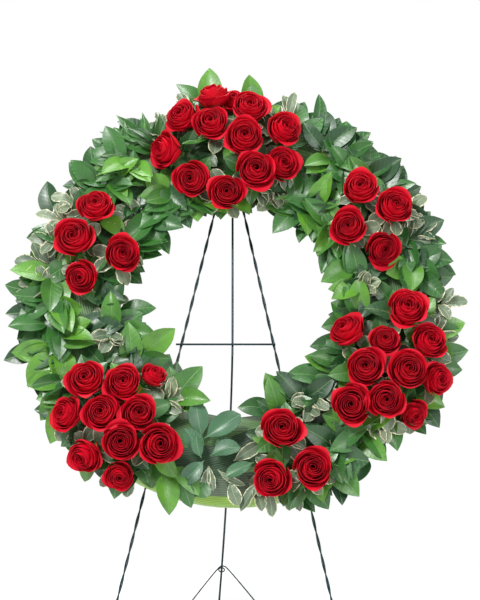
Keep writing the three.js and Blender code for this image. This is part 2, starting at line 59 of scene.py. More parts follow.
LEAN = math.radians(12)
GAP = 0.3
APEX = (-8, 732)
LEG_TOP = 706
LEFT_FOOT = -178
RIGHT_FOOT = 147
LEG_WIRE = 2.3
TWIST_PITCH = 62
CROSSBAR = {"z": 418, "left": -89, "right": 61, "wire": 3}
ROD = {"x": -3.8, "bottom": 402, "wire": 3.2}
TOP_BAR = 652
HINGE_BAR = {"z": 690, "length": 34, "wire": 3.4}
BACK_WIRE = 3.4
BACK_FOOT = (-26, 330)
VEE = {"height": 59, "left": -72, "right": 34, "top": 12, "centre": -20, "wire": 2.1}

INNER, OUTER, DEPTH = 170, 305, 56
FORM_MID = (INNER + OUTER) / 2
FORM_HALF = (OUTER - INNER) / 2
HALF_DEPTH = DEPTH / 2
WREATH_AT = (0, -(LEG_WIRE + GAP + HALF_DEPTH), 472)

HEAD_RADIUS = 27.5
DOME_RADIUS = 125
STEM_RADIUS = 2.6
STEM_DEPTH = 28
# A cluster's centre, then each of its roses: x, z, height, size and turn.
CLUSTERS = [
    ((-5, 236), [
        (-33, 316, 52, 1.0, 2.0), (-80, 279, 60, 0.98, 0.8), (-36, 260, 82, 1.04, 0.5),
        (-104, 226, 58, 1.06, 1.5), (-64, 177, 64, 1.0, 0.5), (-12, 155, 68, 0.98, 0.3),
        (14, 236, 88, 1.06, 0.4), (-2, 312, 44, 0.8, 1.0), (22, 291, 70, 1.0, 0.5),
        (73, 257, 68, 1.04, 0.7), (70, 202, 62, 1.0, 0.5), (30, 184, 86, 1.06, 0.3),
    ]),
    ((205, 112), [
        (186, 158, 76, 1.0, 0.5), (236, 131, 72, 1.02, 0.7), (168, 100, 70, 1.0, 0.7),
        (219, 69, 60, 0.98, 1.4),
    ]),
    ((-205, 78), [
        (-207, 131, 72, 1.0, 0.6), (-236, 84, 64, 1.12, 0.9), (-166, 57, 70, 1.0, 0.8),
        (-226, 25, 60, 0.9, 1.0),
    ]),
    ((-165, -188), [
        (-212, -134, 76, 1.04, 0.4), (-159, -139, 74, 1.04, 0.5), (-118, -122, 50, 0.72, 1.2),
        (-240, -181, 60, 0.94, 1.3), (-189, -184, 84, 1.0, 0.4), (-136, -184, 78, 1.0, 0.5),
        (-212, -240, 56, 1.0, 1.7), (-160, -226, 84, 1.02, 0.5), (-108, -228, 80, 1.08, 0.6),
        (-163, -268, 54, 0.8, 1.0),
    ]),
    ((222, -108), [
        (248, -31, 82, 1.1, 0.4), (163, -57, 58, 1.0, 1.5), (216, -74, 72, 0.84, 0.3),
        (280, -76, 68, 0.98, 0.6), (187, -116, 78, 1.04, 0.4), (247, -122, 86, 1.1, 0.3),
        (290, -128, 52, 0.92, 1.4), (166, -170, 74, 1.06, 0.4), (214, -164, 80, 0.98, 0.4),
        (256, -178, 50, 0.8, 1.2),
    ]),
    ((78, -245), [
        (67, -207, 78, 1.1, 0.3), (53, -274, 60, 1.02, 1.5), (108, -261, 72, 1.06, 0.6),
    ]),
]

SPINE = {"outer": (268, 31), "inner": (188, 25)}
SPINE_WIRE = 1.5
TWIG = 1.3
# Each kind of leaf: length, width, side leaves on a sprig and their spread.
KINDS = {
    "salal": {"length": 68, "width": 37, "side": 4, "spread": 52},
    "ruscus": {"length": 52, "width": 19, "side": 6, "spread": 42},
    "pittosporum": {"length": 36, "width": 20, "side": 7, "spread": 58},
    "round": {"length": 40, "width": 25, "side": 4, "spread": 62},
}
# A sprig is its kind, the clock angle of its foot, then angle, radius and height
# of its tip. Angles are anticlockwise from the right.
OUTER_SPRIGS = [
    ("salal", 8, 6, 326, 34), ("salal", 16, 1, 300, 40), ("salal", 20, 14, 316, 30),
    ("pittosporum", 19, 22, 326, 36), ("pittosporum", 25, 29, 330, 38),
    ("salal", 32, 37, 316, 26), ("salal", 35, 43, 336, 30), ("salal", 44, 50, 322, 34),
    ("salal", 52, 59, 332, 34), ("salal", 60, 65, 332, 36), ("salal", 48, 55, 236, 52),
    ("salal", 57, 49, 214, 48), ("salal", 12, 9, 226, 50), ("salal", 40, 48, 232, 44),
    ("salal", 70, 73, 332, 30), ("pittosporum", 77, 78, 316, 40), ("salal", 83, 86, 350, 34),
    ("salal", 98, 96, 366, 34), ("salal", 104, 103, 334, 30), ("pittosporum", 107, 107, 320, 40),
    ("pittosporum", 112, 112, 322, 36), ("ruscus", 116, 117, 320, 44), ("ruscus", 118, 122, 344, 40),
    ("ruscus", 124, 128, 336, 38), ("ruscus", 130, 134, 312, 30), ("salal", 127, 135, 322, 28),
    ("salal", 126, 132, 238, 50), ("salal", 136, 128, 220, 48), ("salal", 140, 146, 300, 36),
    ("salal", 138, 142, 230, 46), ("pittosporum", 148, 150, 320, 38), ("pittosporum", 154, 156, 328, 34),
    ("pittosporum", 161, 163, 322, 34),
    ("pittosporum", 169, 170, 334, 34), ("pittosporum", 175, 176, 322, 34), ("salal", 172, 181, 310, 36),
    ("salal", 178, 187, 306, 42), ("salal", 180, 191, 326, 30), ("salal", 187, 196, 330, 34),
    ("salal", 182, 185, 224, 48), ("salal", 193, 190, 214, 46), ("salal", 196, 204, 330, 30),
    ("salal", 206, 213, 336, 28), ("salal", 212, 219, 344, 24), ("salal", 222, 229, 320, 22),
    ("salal", 236, 240, 344, 34), ("salal", 244, 247, 306, 26), ("salal", 248, 254, 334, 36),
    ("salal", 262, 258, 300, 34),
    ("pittosporum", 268, 271, 308, 36), ("pittosporum", 274, 277, 318, 36),
    ("pittosporum", 281, 283, 316, 34), ("pittosporum", 287, 288, 312, 34),
    ("salal", 290, 293, 340, 32), ("salal", 297, 301, 344, 34), ("salal", 300, 308, 312, 42),
    ("salal", 302, 307, 236, 50), ("salal", 313, 305, 218, 48), ("salal", 312, 318, 306, 38),
    ("pittosporum", 316, 321, 318, 44), ("salal", 322, 326, 336, 30), ("salal", 327, 332, 346, 28),
    ("salal", 336, 342, 350, 30), ("salal", 342, 347, 352, 32), ("pittosporum", 348, 350, 334, 34),
    ("salal", 348, 354, 342, 30), ("pittosporum", 357, 359, 344, 36),
]
INNER_SPRIGS = [
    ("salal", 8, 14, 158, 36), ("salal", 16, 24, 158, 34), ("salal", 28, 33, 160, 28),
    ("salal", 36, 43, 158, 34), ("salal", 46, 52, 142, 34), ("salal", 54, 61, 116, 36),
    ("pittosporum", 70, 76, 140, 40), ("pittosporum", 76, 84, 146, 34), ("salal", 92, 100, 128, 30),
    ("salal", 108, 115, 134, 32), ("salal", 116, 124, 146, 36), ("salal", 124, 131, 150, 30),
    ("salal", 134, 143, 136, 38), ("salal", 150, 158, 150, 30), ("salal", 120, 126, 232, 46),
    ("salal", 50, 42, 224, 50), ("pittosporum", 4, 6, 216, 50), ("pittosporum", 136, 150, 226, 44),
    ("salal", 196, 189, 138, 32), ("salal", 214, 209, 100, 42), ("salal", 226, 222, 128, 36),
    ("salal", 240, 246, 116, 44), ("pittosporum", 236, 246, 156, 40),
    ("salal", 290, 300, 158, 34), ("salal", 302, 312, 150, 36), ("salal", 318, 326, 150, 28),
    ("salal", 326, 333, 140, 34), ("salal", 338, 345, 152, 28), ("salal", 350, 358, 142, 32),
    ("pittosporum", 196, 204, 214, 46), ("pittosporum", 306, 298, 214, 46),
]
GREENS = [
    ("greens_outer_upper_right", OUTER_SPRIGS, "outer", 2, 74),
    ("greens_outer_upper_left", OUTER_SPRIGS, "outer", 76, 164),
    ("greens_outer_lower_left", OUTER_SPRIGS, "outer", 166, 264),
    ("greens_outer_lower_right", OUTER_SPRIGS, "outer", 266, 360),
    ("greens_inner_top", INNER_SPRIGS, "inner", 1, 179),
    ("greens_inner_bottom", INNER_SPRIGS, "inner", 181, 359),
]

# The arc of the ring where the wrap shows bare, in degrees.
BARE = (243, 284)
# Points along and across one petal, leaf and blade.
PETAL_POINTS = (9, 11)
LEAF_POINTS = (12, 7)
BLADE_COLUMNS = 23
# About the length round the middle of the ring.
RING_LENGTH = 1490
WRAP_POINTS = (120, 25)
# What each set of random draws starts from.
SEEDS = {"rose": 100, "sprig": 5000, "greens": 900, "hand": 77, "pins": 41}

# ---------------------------------------------------------------------- places

MOUNTS = {mount["name"]: Vector(mount["pos_m"]) for mount in frame["record"]["mounts"]}
FEET = Vector((MOUNTS["left_foot"].x - LEFT_FOOT * MM, MOUNTS["left_foot"].y, 0))
TO_METRES = Matrix.Scale(MM, 4)
FRAME_PLACE = Matrix.Translation(FEET) @ Matrix.Rotation(-LEAN, 4, "X") @ TO_METRES
WREATH_PLACE = FRAME_PLACE @ Matrix.Translation(WREATH_AT)
FLOOR_PLACE = Matrix.Translation(FEET) @ TO_METRES
WREATH_CENTRE = WREATH_PLACE.translation


def vec(*values):
    return np.array(values, float)


def unit(values):
    return values / max(np.linalg.norm(values), 1e-9)


def polar(degrees, radius, height):
    """A point of the wreath, in the wreath's own x, y and z."""
    a = math.radians(degrees)
    return vec(radius * math.cos(a), -height, radius * math.sin(a))


def turned(values, axis, angle):
    """values turned about a unit axis."""
    c, s = math.cos(angle), math.sin(angle)
    return values * c + np.cross(axis, values) * s + axis * np.dot(axis, values) * (1 - c)


def unit_grid(rows, columns):
    """t from 0 to 1 along the rows and u from -1 to 1 across the columns."""
    t = np.linspace(0, 1, rows)[:, None] * np.ones((1, columns))
    u = np.linspace(-1, 1, columns)[None, :] * np.ones((rows, 1))
    return t, u


FORWARD = vec(0, -1, 0)

# ------------------------------------------------------------------------ form


BACK_FOLD = 16


def rounded_section(inset):
    """The wrap's section with soft corners: radius and height, folded on the back."""
    half, front = FORM_HALF - inset, HALF_DEPTH - inset
    rear = -HALF_DEPTH - 0.35
    corners = [(-half + 5 + BACK_FOLD, rear), (-half + 4, rear), (-half, front * 0.1),
               (-half * 0.6, front), (half * 0.6, front), (half, front * 0.1),
               (half - 4, rear), (half - 5 - BACK_FOLD, rear)]
    points = np.array([(FORM_MID + across, height) for across, height in corners])
    for _ in range(3):
        cut = [points[0]]
        for a, b in zip(points[:-1], points[1:]):
            cut += [a * 0.8 + b * 0.2, a * 0.2 + b * 0.8]
        points = np.array([*cut, points[-1]])
    return points


SECTION = rounded_section(1.5)
SECTION_STEPS = np.concatenate([[0], np.cumsum(np.linalg.norm(np.diff(SECTION, axis=0), axis=1))])
SECTION_LENGTH = SECTION_STEPS[-1]


# ------------------------------------------------------------- meshes from grids


class Pile:
    """Sheets and tubes gathered into one mesh, with the marks its material reads."""

    def __init__(self, place):
        self.place = place
        self.points, self.faces, self.where, self.look = [], [], [], []
        self.count = 0

    def add(self, points, faces, where, look):
        self.points.append(points)
        self.faces.append(np.asarray(faces) + self.count)
        self.where.append(where)
        self.look.append(look)
        self.count += len(points)

    def sheet(self, grid, thickness, where, look):
        """A closed sheet: a grid of points (rows, columns, 3), thickened both ways.

        where holds the place on the sheet at each point. look is (tone, kind, back),
        and its back is set to 1 on the rear side.
        """
        rows, columns = grid.shape[:2]
        normal = np.cross(np.gradient(grid, axis=1), np.gradient(grid, axis=0))
        size = np.linalg.norm(normal, axis=2, keepdims=True)
        normal = normal / np.maximum(size, 1e-9)
        thick = np.asarray(thickness, float)
        if thick.ndim == 2:
            thick = thick[..., None]
        half = normal * thick / 2
        flat = rows * columns
        points = np.concatenate([(grid + half).reshape(-1, 3), (grid - half).reshape(-1, 3)])
        i = np.arange(flat).reshape(rows, columns)
        a, b, c, d = i[:-1, :-1], i[:-1, 1:], i[1:, 1:], i[1:, :-1]
        front = np.stack([a, b, c, d], axis=-1).reshape(-1, 4)
        back = front[:, ::-1] + flat
        loop = np.concatenate([i[0, :-1], i[:-1, -1], i[-1, :0:-1], i[:0:-1, 0]])
        ahead = np.roll(loop, -1)
        rim = np.stack([loop, loop + flat, ahead + flat, ahead], axis=-1)
        place = where.reshape(-1, 3)
        fronts = np.tile(vec(look[0], look[1], 0), (flat, 1))
        backs = np.tile(vec(look[0], look[1], 1), (flat, 1))
        self.add(points, np.concatenate([front, back, rim]), np.concatenate([place, place]),
                 np.concatenate([fronts, backs]))

    def tube(self, path, radius, sides=10, look=(0.5, 0, 0), closed=False, flat_z=None):
        """A round tube through the points. flat_z cuts both its ends at that height."""
        path = np.asarray(path, float)
        radii = np.broadcast_to(np.asarray(radius, float), (len(path),))
        if closed:
            heading = np.roll(path, -1, axis=0) - np.roll(path, 1, axis=0)
        else:
            heading = np.gradient(path, axis=0)
        heading /= np.linalg.norm(heading, axis=1, keepdims=True)
        side = unit(np.cross(heading[0], vec(0.31, 0.87, 0.38)))
        rings, along, travelled = [], [], 0.0
        angles = np.linspace(0, 2 * math.pi, sides, endpoint=False)
        for k, (centre, ahead) in enumerate(zip(path, heading)):
            side = unit(side - ahead * np.dot(side, ahead))
            other = np.cross(ahead, side)
            circle = np.outer(np.cos(angles), side) + np.outer(np.sin(angles), other)
            rings.append(centre + circle * radii[k])
            if k:
                travelled += np.linalg.norm(centre - path[k - 1])
            along.append(travelled)
        if flat_z is not None:
            for end in (0, -1):
                drop = (flat_z - rings[end][:, 2]) / heading[end][2]
                rings[end] = rings[end] + np.outer(drop, heading[end])
        n = len(rings)
        points = np.concatenate(rings)
        i = np.arange(n * sides).reshape(n, sides)
        upper = np.roll(i, -1, axis=0) if closed else i[1:]
        lower = i if closed else i[:-1]
        quads = np.stack([lower, np.roll(lower, -1, axis=1), np.roll(upper, -1, axis=1), upper], axis=-1)
        faces = [quads.reshape(-1, 4)]
        where = np.zeros((n * sides, 3))
        where[:, 0] = np.tile(angles, n)
        where[:, 1] = np.repeat(along, sides)
        if not closed:
            caps = [rings[0].mean(axis=0), rings[-1].mean(axis=0)]
            points = np.concatenate([points, caps])
            where = np.concatenate([where, where[[0, -1]]])
            first, last = n * sides, n * sides + 1
            start = [[first, (k + 1) % sides, k, k] for k in range(sides)]
            top = (n - 1) * sides
            end = [[last, top + k, top + (k + 1) % sides, top + (k + 1) % sides] for k in range(sides)]
            faces += [np.array(start), np.array(end)]
        self.add(points, np.concatenate(faces), where, np.tile(vec(*look), (len(points), 1)))

    def build(self, name, material, slot, body, nodes=(), sharp=55):
        points = np.concatenate(self.points)
        faces = [list(dict.fromkeys(face)) for face in np.concatenate(self.faces).tolist()]
        mesh = bpy.data.meshes.new(name)
        mesh.from_pydata([tuple(p) for p in points.tolist()], [], faces)
        for label, values in (("where", self.where), ("look", self.look)):
            layer = mesh.attributes.new(label, "FLOAT_VECTOR", "POINT")
            layer.data.foreach_set("vector", np.concatenate(values).astype(np.float32).ravel())
        mesh.transform(self.place)
        mesh.polygons.foreach_set("use_smooth", [True] * len(mesh.polygons))
        mesh.set_sharp_from_angle(angle=math.radians(sharp))
        mesh.materials.append(material)
        mesh.validate()
        piece = bpy.data.objects.new(name, mesh)
        bpy.context.scene.collection.objects.link(piece)
        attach(piece, body)
        if nodes:
            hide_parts(*nodes)
        return piece


def curve_through(points, steps):
    """A smooth centripetal curve through a few points."""
    points = np.asarray(points, float)
    ends = [2 * points[0] - points[1], *points, 2 * points[-1] - points[-2]]
    out = []
    for k in range(1, len(ends) - 2):
        p0, p1, p2, p3 = (np.asarray(ends[k + j]) for j in (-1, 0, 1, 2))
        gaps = [max(np.linalg.norm(b - a), 1e-6) ** 0.5 for a, b in ((p0, p1), (p1, p2), (p2, p3))]
        m1 = (p1 - p0) / gaps[0] - (p2 - p0) / (gaps[0] + gaps[1]) + (p2 - p1) / gaps[1]
        m2 = (p2 - p1) / gaps[1] - (p3 - p1) / (gaps[1] + gaps[2]) + (p3 - p2) / gaps[2]
        m1, m2 = m1 * gaps[1], m2 * gaps[1]
        for t in np.linspace(0, 1, steps, endpoint=False):
            a, b = 2 * t**3 - 3 * t**2 + 1, t**3 - 2 * t**2 + t
            c, d = -2 * t**3 + 3 * t**2, t**3 - t**2
            out.append(a * p1 + b * m1 + c * p2 + d * m2)
    out.append(points[-1])
    return np.array(out)


# ------------------------------------------------------------------- materials


class Look:
    """A node material put together in short steps."""

    def __init__(self, name):
        self.material = bpy.data.materials.new(name)
        self.material.use_nodes = True
        self.tree = self.material.node_tree
        self.tree.nodes.clear()
        self.shader = self.node("ShaderNodeBsdfPrincipled")
        self.output = self.node("ShaderNodeOutputMaterial")
        self.link(self.shader.outputs[0], self.output.inputs["Surface"])

    def node(self, kind, **settings):
        made = self.tree.nodes.new(kind)
        for key, value in settings.items():
            setattr(made, key, value)
        return made

    def link(self, source, target):
        self.tree.links.new(source, target)

    def put(self, socket, value):
        if isinstance(value, bpy.types.NodeSocket):
            self.link(value, socket)
        elif value is not None:
            socket.default_value = value

    def math(self, operation, a, b=None):
        made = self.node("ShaderNodeMath", operation=operation)
        self.put(made.inputs[0], a)
        if b is not None:
            self.put(made.inputs[1], b)
        return made.outputs[0]

    def times(self, a, b):
        return self.math("MULTIPLY", a, b)

    def plus(self, a, b):
        return self.math("ADD", a, b)

    def minus(self, a, b):
        return self.math("SUBTRACT", a, b)

    def ramp(self, value, low, high, to_low=0.0, to_high=1.0):
        """value from low to high, smoothly, as to_low to to_high."""
        made = self.node("ShaderNodeMapRange", interpolation_type="SMOOTHSTEP")
        for socket, number in zip(made.inputs[:5], (value, low, high, to_low, to_high)):
            self.put(socket, number)
        return made.outputs[0]

    def mix(self, share, a, b, blend="MIX"):
        made = self.node("ShaderNodeMix", data_type="RGBA", blend_type=blend)
        self.put(made.inputs[0], share)
        self.put(made.inputs[6], a)
        self.put(made.inputs[7], b)
        return made.outputs[2]

    def attribute(self, name):
        made = self.node("ShaderNodeAttribute", attribute_name=name)
        split = self.node("ShaderNodeSeparateXYZ")
        self.link(made.outputs["Vector"], split.inputs[0])
        return split.outputs

    def point(self, x, y, z=0.0):
        made = self.node("ShaderNodeCombineXYZ")
        for socket, value in zip(made.inputs, (x, y, z)):
            self.put(socket, value)
        return made.outputs[0]

    def place(self):
        return self.node("ShaderNodeTexCoord").outputs["Object"]

    def noise(self, where, scale, detail=3.0, rough=0.55):
        made = self.node("ShaderNodeTexNoise")
        self.put(made.inputs["Vector"], where)
        made.inputs["Scale"].default_value = scale
        made.inputs["Detail"].default_value = detail
        made.inputs["Roughness"].default_value = rough
        return made.outputs[0]

    def bump(self, height, strength, distance):
        made = self.node("ShaderNodeBump")
        made.inputs["Strength"].default_value = strength
        made.inputs["Distance"].default_value = distance
        self.put(made.inputs["Height"], height)
        self.link(made.outputs[0], self.shader.inputs["Normal"])

    def finish(self, color, roughness, **plain):
        self.put(self.shader.inputs["Base Color"], color)
        self.put(self.shader.inputs["Roughness"], roughness)
        for key, value in plain.items():
            self.shader.inputs[key.replace("_", " ")].default_value = value
        return self.material


VEIN_GAP = 3.4


def color(red, green, blue):
    return (red, green, blue, 1.0)


def petal_look():
    """Velvety red, with painted shade that darkens each petal towards its foot, a painted highlight along
    its rim, and fine veins fanning up.
    """
    look = Look("petal")
    u, v, _ = look.attribute("where")
    tone, depth, back = look.attribute("look")
    fan = look.point(look.times(u, 9.0), look.times(v, 1.2), tone)
    veins = look.noise(fan, 3.0, 4.0)
    cloud = look.noise(look.place(), 60.0, 2.0)
    red = look.mix(look.ramp(cloud, 0.35, 0.65), color(0.50, 0.0005, 0.009), color(0.59, 0.0008, 0.014))
    red = look.mix(look.times(tone, 0.5), red, color(0.42, 0.0004, 0.013))
    red = look.mix(look.ramp(veins, 0.45, 0.75, 0.0, 0.30), red, color(0.38, 0.0, 0.008))
    outside = look.times(back, 0.40)
    red = look.mix(outside, red, color(0.36, 0.0004, 0.014))
    # Painted shade: each petal darkens towards its foot, deepest and darkest on the inner petals, where the
    # crevices between petals fall in shade.
    low = look.minus(0.46, look.times(depth, 0.40))
    high = look.minus(0.93, look.times(depth, 0.34))
    shade = look.ramp(v, low, high)
    dark = look.mix(depth, color(0.07, 0.0, 0.002), color(0.26, 0.0, 0.007))
    red = look.mix(shade, dark, red)
    # Painted highlight: the top of each petal's rim is lightened where it would catch the light.
    rim = look.ramp(v, 0.96, 1.0, 0.0, 0.15)
    red = look.mix(rim, red, color(0.68, 0.002, 0.020))
    look.bump(look.plus(veins, look.times(cloud, 0.4)), 0.18, 0.0005)
    rough = look.ramp(cloud, 0.3, 0.7, 0.50, 0.64)
    return look.finish(red, rough, Sheen_Weight=0.04, Sheen_Roughness=0.4,
                       Sheen_Tint=color(1.0, 0.15, 0.2), Specular_IOR_Level=0.18)


def leaf_look(name, greens, rib, vein_gap, gloss, cream=None):
    """A leaf: three greens by tone, a pale midrib, side veins and a paler back.

    where is (mm across, mm along, share of the half width), look is (tone, 0, back).
    """
    look = Look(name)
    across, along, edge = look.attribute("where")
    tone, _, back = look.attribute("look")
    out = look.math("ABSOLUTE", across)
    blotch = look.noise(look.place(), 45.0, 3.0)
    green = look.mix(look.ramp(tone, 0.0, 0.5), greens[0], greens[1])
    green = look.mix(look.ramp(tone, 0.68, 1.0), green, greens[2])
    green = look.mix(look.ramp(blotch, 0.3, 0.75, 0.0, 0.45), green, greens[3])
    slant = look.minus(along, look.times(look.math("POWER", out, 0.86), 1.1))
    cells = look.math("ABSOLUTE", look.minus(look.math("FRACT", look.math("DIVIDE", slant, vein_gap)), 0.5))
    side = look.ramp(cells, 0.06, 0.0)
    net = look.noise(look.point(across, along, tone), 0.9, 3.0)
    mid = look.ramp(out, 0.75, 0.2)
    green = look.mix(look.times(side, 0.25), green, rib)
    green = look.mix(look.ramp(net, 0.5, 0.8, 0.0, 0.25), green, greens[3])
    if cream is not None:
        wander = look.noise(look.point(across, along, tone), 0.35, 2.0)
        border = look.plus(edge, look.times(look.minus(wander, 0.5), 0.55))
        green = look.mix(look.ramp(border, 0.84, 0.93, 0.0, 0.92), green, cream)
    green = look.mix(look.times(mid, 0.6), green, rib)
    green = look.mix(look.times(back, 0.55), green, greens[4])
    relief = look.minus(look.times(net, 0.5), look.plus(side, mid))
    look.bump(relief, 0.35, 0.0006)
    rough = look.plus(look.ramp(blotch, 0.2, 0.8, gloss, gloss + 0.14),
                      look.times(back, 0.2))
    return look.finish(green, rough, Specular_IOR_Level=0.5, Coat_Weight=0.12, Coat_Roughness=0.25)


def wrap_look():
    """Aspidistra: fine parallel veins along the blade, in dark and light lines.

    grey turns the blade from fresh green to an old grey green.
    """
    look = Look("aspidistra")
    across, along, edge = look.attribute("where")
    tone, grey, _ = look.attribute("look")
    green = look.mix(look.ramp(tone, 0.0, 0.6), color(0.010, 0.045, 0.014), color(0.062, 0.150, 0.036))
    green = look.mix(look.ramp(tone, 0.75, 1.0), green, color(0.20, 0.37, 0.025))
    green = look.mix(grey, green, color(0.085, 0.115, 0.075))
    drift = look.noise(look.point(look.times(across, 0.05), look.times(along, 0.02),
                                  tone), 1.0, 2.0)
    lane = look.plus(across, look.times(drift, 2.0))
    ribs = look.math("SINE", look.times(lane, 2 * math.pi / VEIN_GAP))
    fine = look.noise(look.point(across, look.times(along, 0.015), tone), 0.8, 3.0)
    line = look.ramp(look.plus(ribs, look.times(fine, 1.3)), 0.9, 1.7)
    green = look.mix(look.times(line, 0.55), green, color(0.012, 0.045, 0.014))
    pale = look.ramp(look.minus(look.times(fine, 1.3), ribs), 1.1, 1.8)
    green = look.mix(look.times(pale, 0.30), green, color(0.17, 0.27, 0.13))
    green = look.mix(look.ramp(edge, 0.955, 1.0, 0.0, 0.5), green, color(0.26, 0.36, 0.12))
    relief = look.minus(look.times(fine, 0.6), look.times(ribs, 0.5))
    look.bump(relief, 0.35, 0.0006)
    rough = look.ramp(drift, 0.3, 0.7, 0.30, 0.42)
    return look.finish(green, rough, Specular_IOR_Level=0.5, Coat_Weight=0.10, Coat_Roughness=0.3)


def wood_look():
    look = Look("twig")
    grain = look.noise(look.place(), 240.0, 3.0)
    brown = look.mix(look.ramp(grain, 0.35, 0.7), color(0.075, 0.095, 0.025), color(0.15, 0.12, 0.045))
    look.bump(grain, 0.3, 0.0008)
    return look.finish(brown, look.ramp(grain, 0.3, 0.7, 0.55, 0.75))


def stem_look():
    look = Look("rose_stem")
    fleck = look.noise(look.place(), 130.0, 3.0)
    green = look.mix(look.ramp(fleck, 0.3, 0.7), color(0.05, 0.15, 0.03), color(0.12, 0.24, 0.05))
    look.bump(fleck, 0.2, 0.0006)
    return look.finish(green, look.ramp(fleck, 0.3, 0.7, 0.42, 0.6))


def enamel_look():
    """Dipped dark green enamel: glossy, with slow runs and small worn spots."""
    look = Look("enamel")
    runs = look.noise(look.place(), 35.0, 3.0)
    specks = look.noise(look.place(), 420.0, 2.0)
    base = look.mix(look.ramp(runs, 0.3, 0.7), color(0.002, 0.014, 0.018), color(0.005, 0.028, 0.032))
    base = look.mix(look.ramp(specks, 0.70, 0.80, 0.0, 0.5), base, color(0.03, 0.06, 0.055))
    look.bump(look.plus(runs, look.times(specks, 0.3)), 0.18, 0.0008)
    rough = look.ramp(specks, 0.4, 0.75, 0.26, 0.45)
    return look.finish(base, rough, Specular_IOR_Level=0.30, Coat_Weight=0.06, Coat_Roughness=0.25)


def foam_look():
    """Open-cell floral foam: matt, pitted at two sizes."""
    look = Look("foam")
    cells = look.node("ShaderNodeTexVoronoi")
    look.link(look.place(), cells.inputs["Vector"])
    cells.inputs["Scale"].default_value = 900.0
    crumbs = look.noise(look.place(), 260.0, 5.0, 0.7)
    green = look.mix(look.ramp(crumbs, 0.3, 0.7), color(0.018, 0.075, 0.03), color(0.05, 0.15, 0.06))
    look.bump(look.plus(cells.outputs["Distance"], crumbs), 0.7, 0.0012)
    return look.finish(green, 0.95)


GREEN_TONES = [
    color(0.010, 0.048, 0.016), color(0.030, 0.130, 0.020), color(0.095, 0.270, 0.020),
    color(0.014, 0.062, 0.016), color(0.070, 0.170, 0.055),
]
GREY_TONES = [
    color(0.080, 0.125, 0.075), color(0.125, 0.175, 0.105), color(0.190, 0.235, 0.140),
    color(0.050, 0.090, 0.050), color(0.190, 0.235, 0.165),
]
BLUE_TONES = [
    color(0.022, 0.080, 0.040), color(0.040, 0.125, 0.055), color(0.080, 0.190, 0.075),
    color(0.016, 0.060, 0.032), color(0.090, 0.170, 0.100),
]
PALE_RIB = color(0.15, 0.27, 0.09)
CREAM = color(0.62, 0.60, 0.40)

PETAL = petal_look()
LEAF = leaf_look("green_leaf", GREEN_TONES, PALE_RIB, 7.5, 0.30)
GREY_LEAF = leaf_look("variegated_leaf", GREY_TONES, color(0.30, 0.36, 0.20), 4.5, 0.40, CREAM)
ROUND_LEAF = leaf_look("round_leaf", BLUE_TONES, color(0.15, 0.28, 0.14), 5.5, 0.32)
WRAP = wrap_look()
WOOD = wood_look()
STEM = stem_look()
ENAMEL = enamel_look()
FOAM = foam_look()

# ----------------------------------------------------------------------- roses


def rose_list():
    found = []
    for (cx, cz), spots in CLUSTERS:
        for x, z, height, size, turn in spots:
            lean = turn / DOME_RADIUS
            axis = unit(vec((x - cx) * lean, -1, (z - cz) * lean))
            found.append({"at": vec(x, -height, z), "axis": axis, "size": size})
    return found


ROSES = rose_list()
PETALS = 23
# How far the open petals pass the head of the CAD.
HEAD_FLARE = 1.03
# The radii of the ring between which the stems enter the foam.
ENTRY = {"middle": 222, "least": 200, "greatest": 256, "share": 0.35}
GOLDEN = math.radians(137.508)


def bezier(a, b, c, d, t):
    s = 1 - t
    return s**3 * a + 3 * s**2 * t * b + 3 * s * t**2 * c + t**3 * d


def petal_grid(i, radius, dice):
    """One petal in the rose's own axes, z out along its axis. i counts from the bud."""
    t = i / (PETALS - 1)
    up, u = unit_grid(*PETAL_POINTS)
    v = up**0.75
    opened = min(1, max(0.0, (t - 0.50) / 0.42))
    wide = math.radians(118 - 60 * t**0.7 + dice.uniform(-6, 8))
    top = 1 - (0.13 + 0.15 * opened) * np.abs(u) ** 2.2
    point = dice.uniform(0.3, 1.3) * opened
    top = top + 0.055 * point * np.clip(1 - np.abs(u) * 2.1, 0, 1) ** 1.2
    rise = v * top
    narrow = 0.34 + 0.66 * np.clip(rise / 0.5, 0, 1) ** 0.8
    turn = GOLDEN * i + dice.uniform(-0.20, 0.20)
    angle = turn + u * wide * narrow
    rim = 0.06 + 0.72 * t**0.95 + 0.20 * t**4 + dice.uniform(-0.02, 0.025)
    belly = 0.15 + 0.72 * t**0.9
    lift = dice.uniform(-0.035, 0.035)
    foot = 0.04 + 0.08 * t
    high = 0.44 + 0.17 * math.sin(math.pi * min(1, t * 1.3)) - 0.20 * t**3 + lift
    r = bezier(foot, belly * 1.05, belly + 0.05, rim, rise)
    z = bezier(-0.60 - 0.06 * t, -0.46, 0.14 - 0.12 * t, high, rise)
    curl = np.clip((rise - 0.76) / 0.24, 0, 1.3) ** 2
    out = (0.022 + 0.045 * t + 0.050 * opened) * dice.uniform(0.5, 1.5)
    r = r + curl * out
    z = z - curl * (0.008 + 0.10 * opened**1.5) * dice.uniform(0.4, 1.5)
    spiral = 0.040 + 0.035 * t
    r = r + spiral * u * rise
    roll = np.clip(np.abs(u) - 0.40, 0, 1) ** 2 * rise
    rolled = opened * dice.uniform(0.4, 1.7)
    r = r + roll * 0.06 * rolled
    z = z - roll * 0.30 * rolled
    phase = dice.uniform(0, 6.28)
    ruffle = np.sin(u * (3.0 + 2.5 * dice.rand()) + phase) * rise**3
    r = r + ruffle * (0.010 + 0.020 * opened)
    z = z + np.cos(u * 3.7 + phase) * rise**3 * (0.014 + 0.020 * opened)
    grid = np.stack([r * np.cos(angle), r * np.sin(angle), z], axis=-1) * radius
    where = np.stack([u * wide, rise, np.abs(u)], axis=-1)
    return grid, where


def axes_for(axis, spin):
    """Three unit axes as rows, the third along axis, spun about it."""
    first = unit(np.cross(vec(0, 0, 1), axis))
    first = turned(first, axis, spin)
    return np.stack([first, np.cross(axis, first), axis])


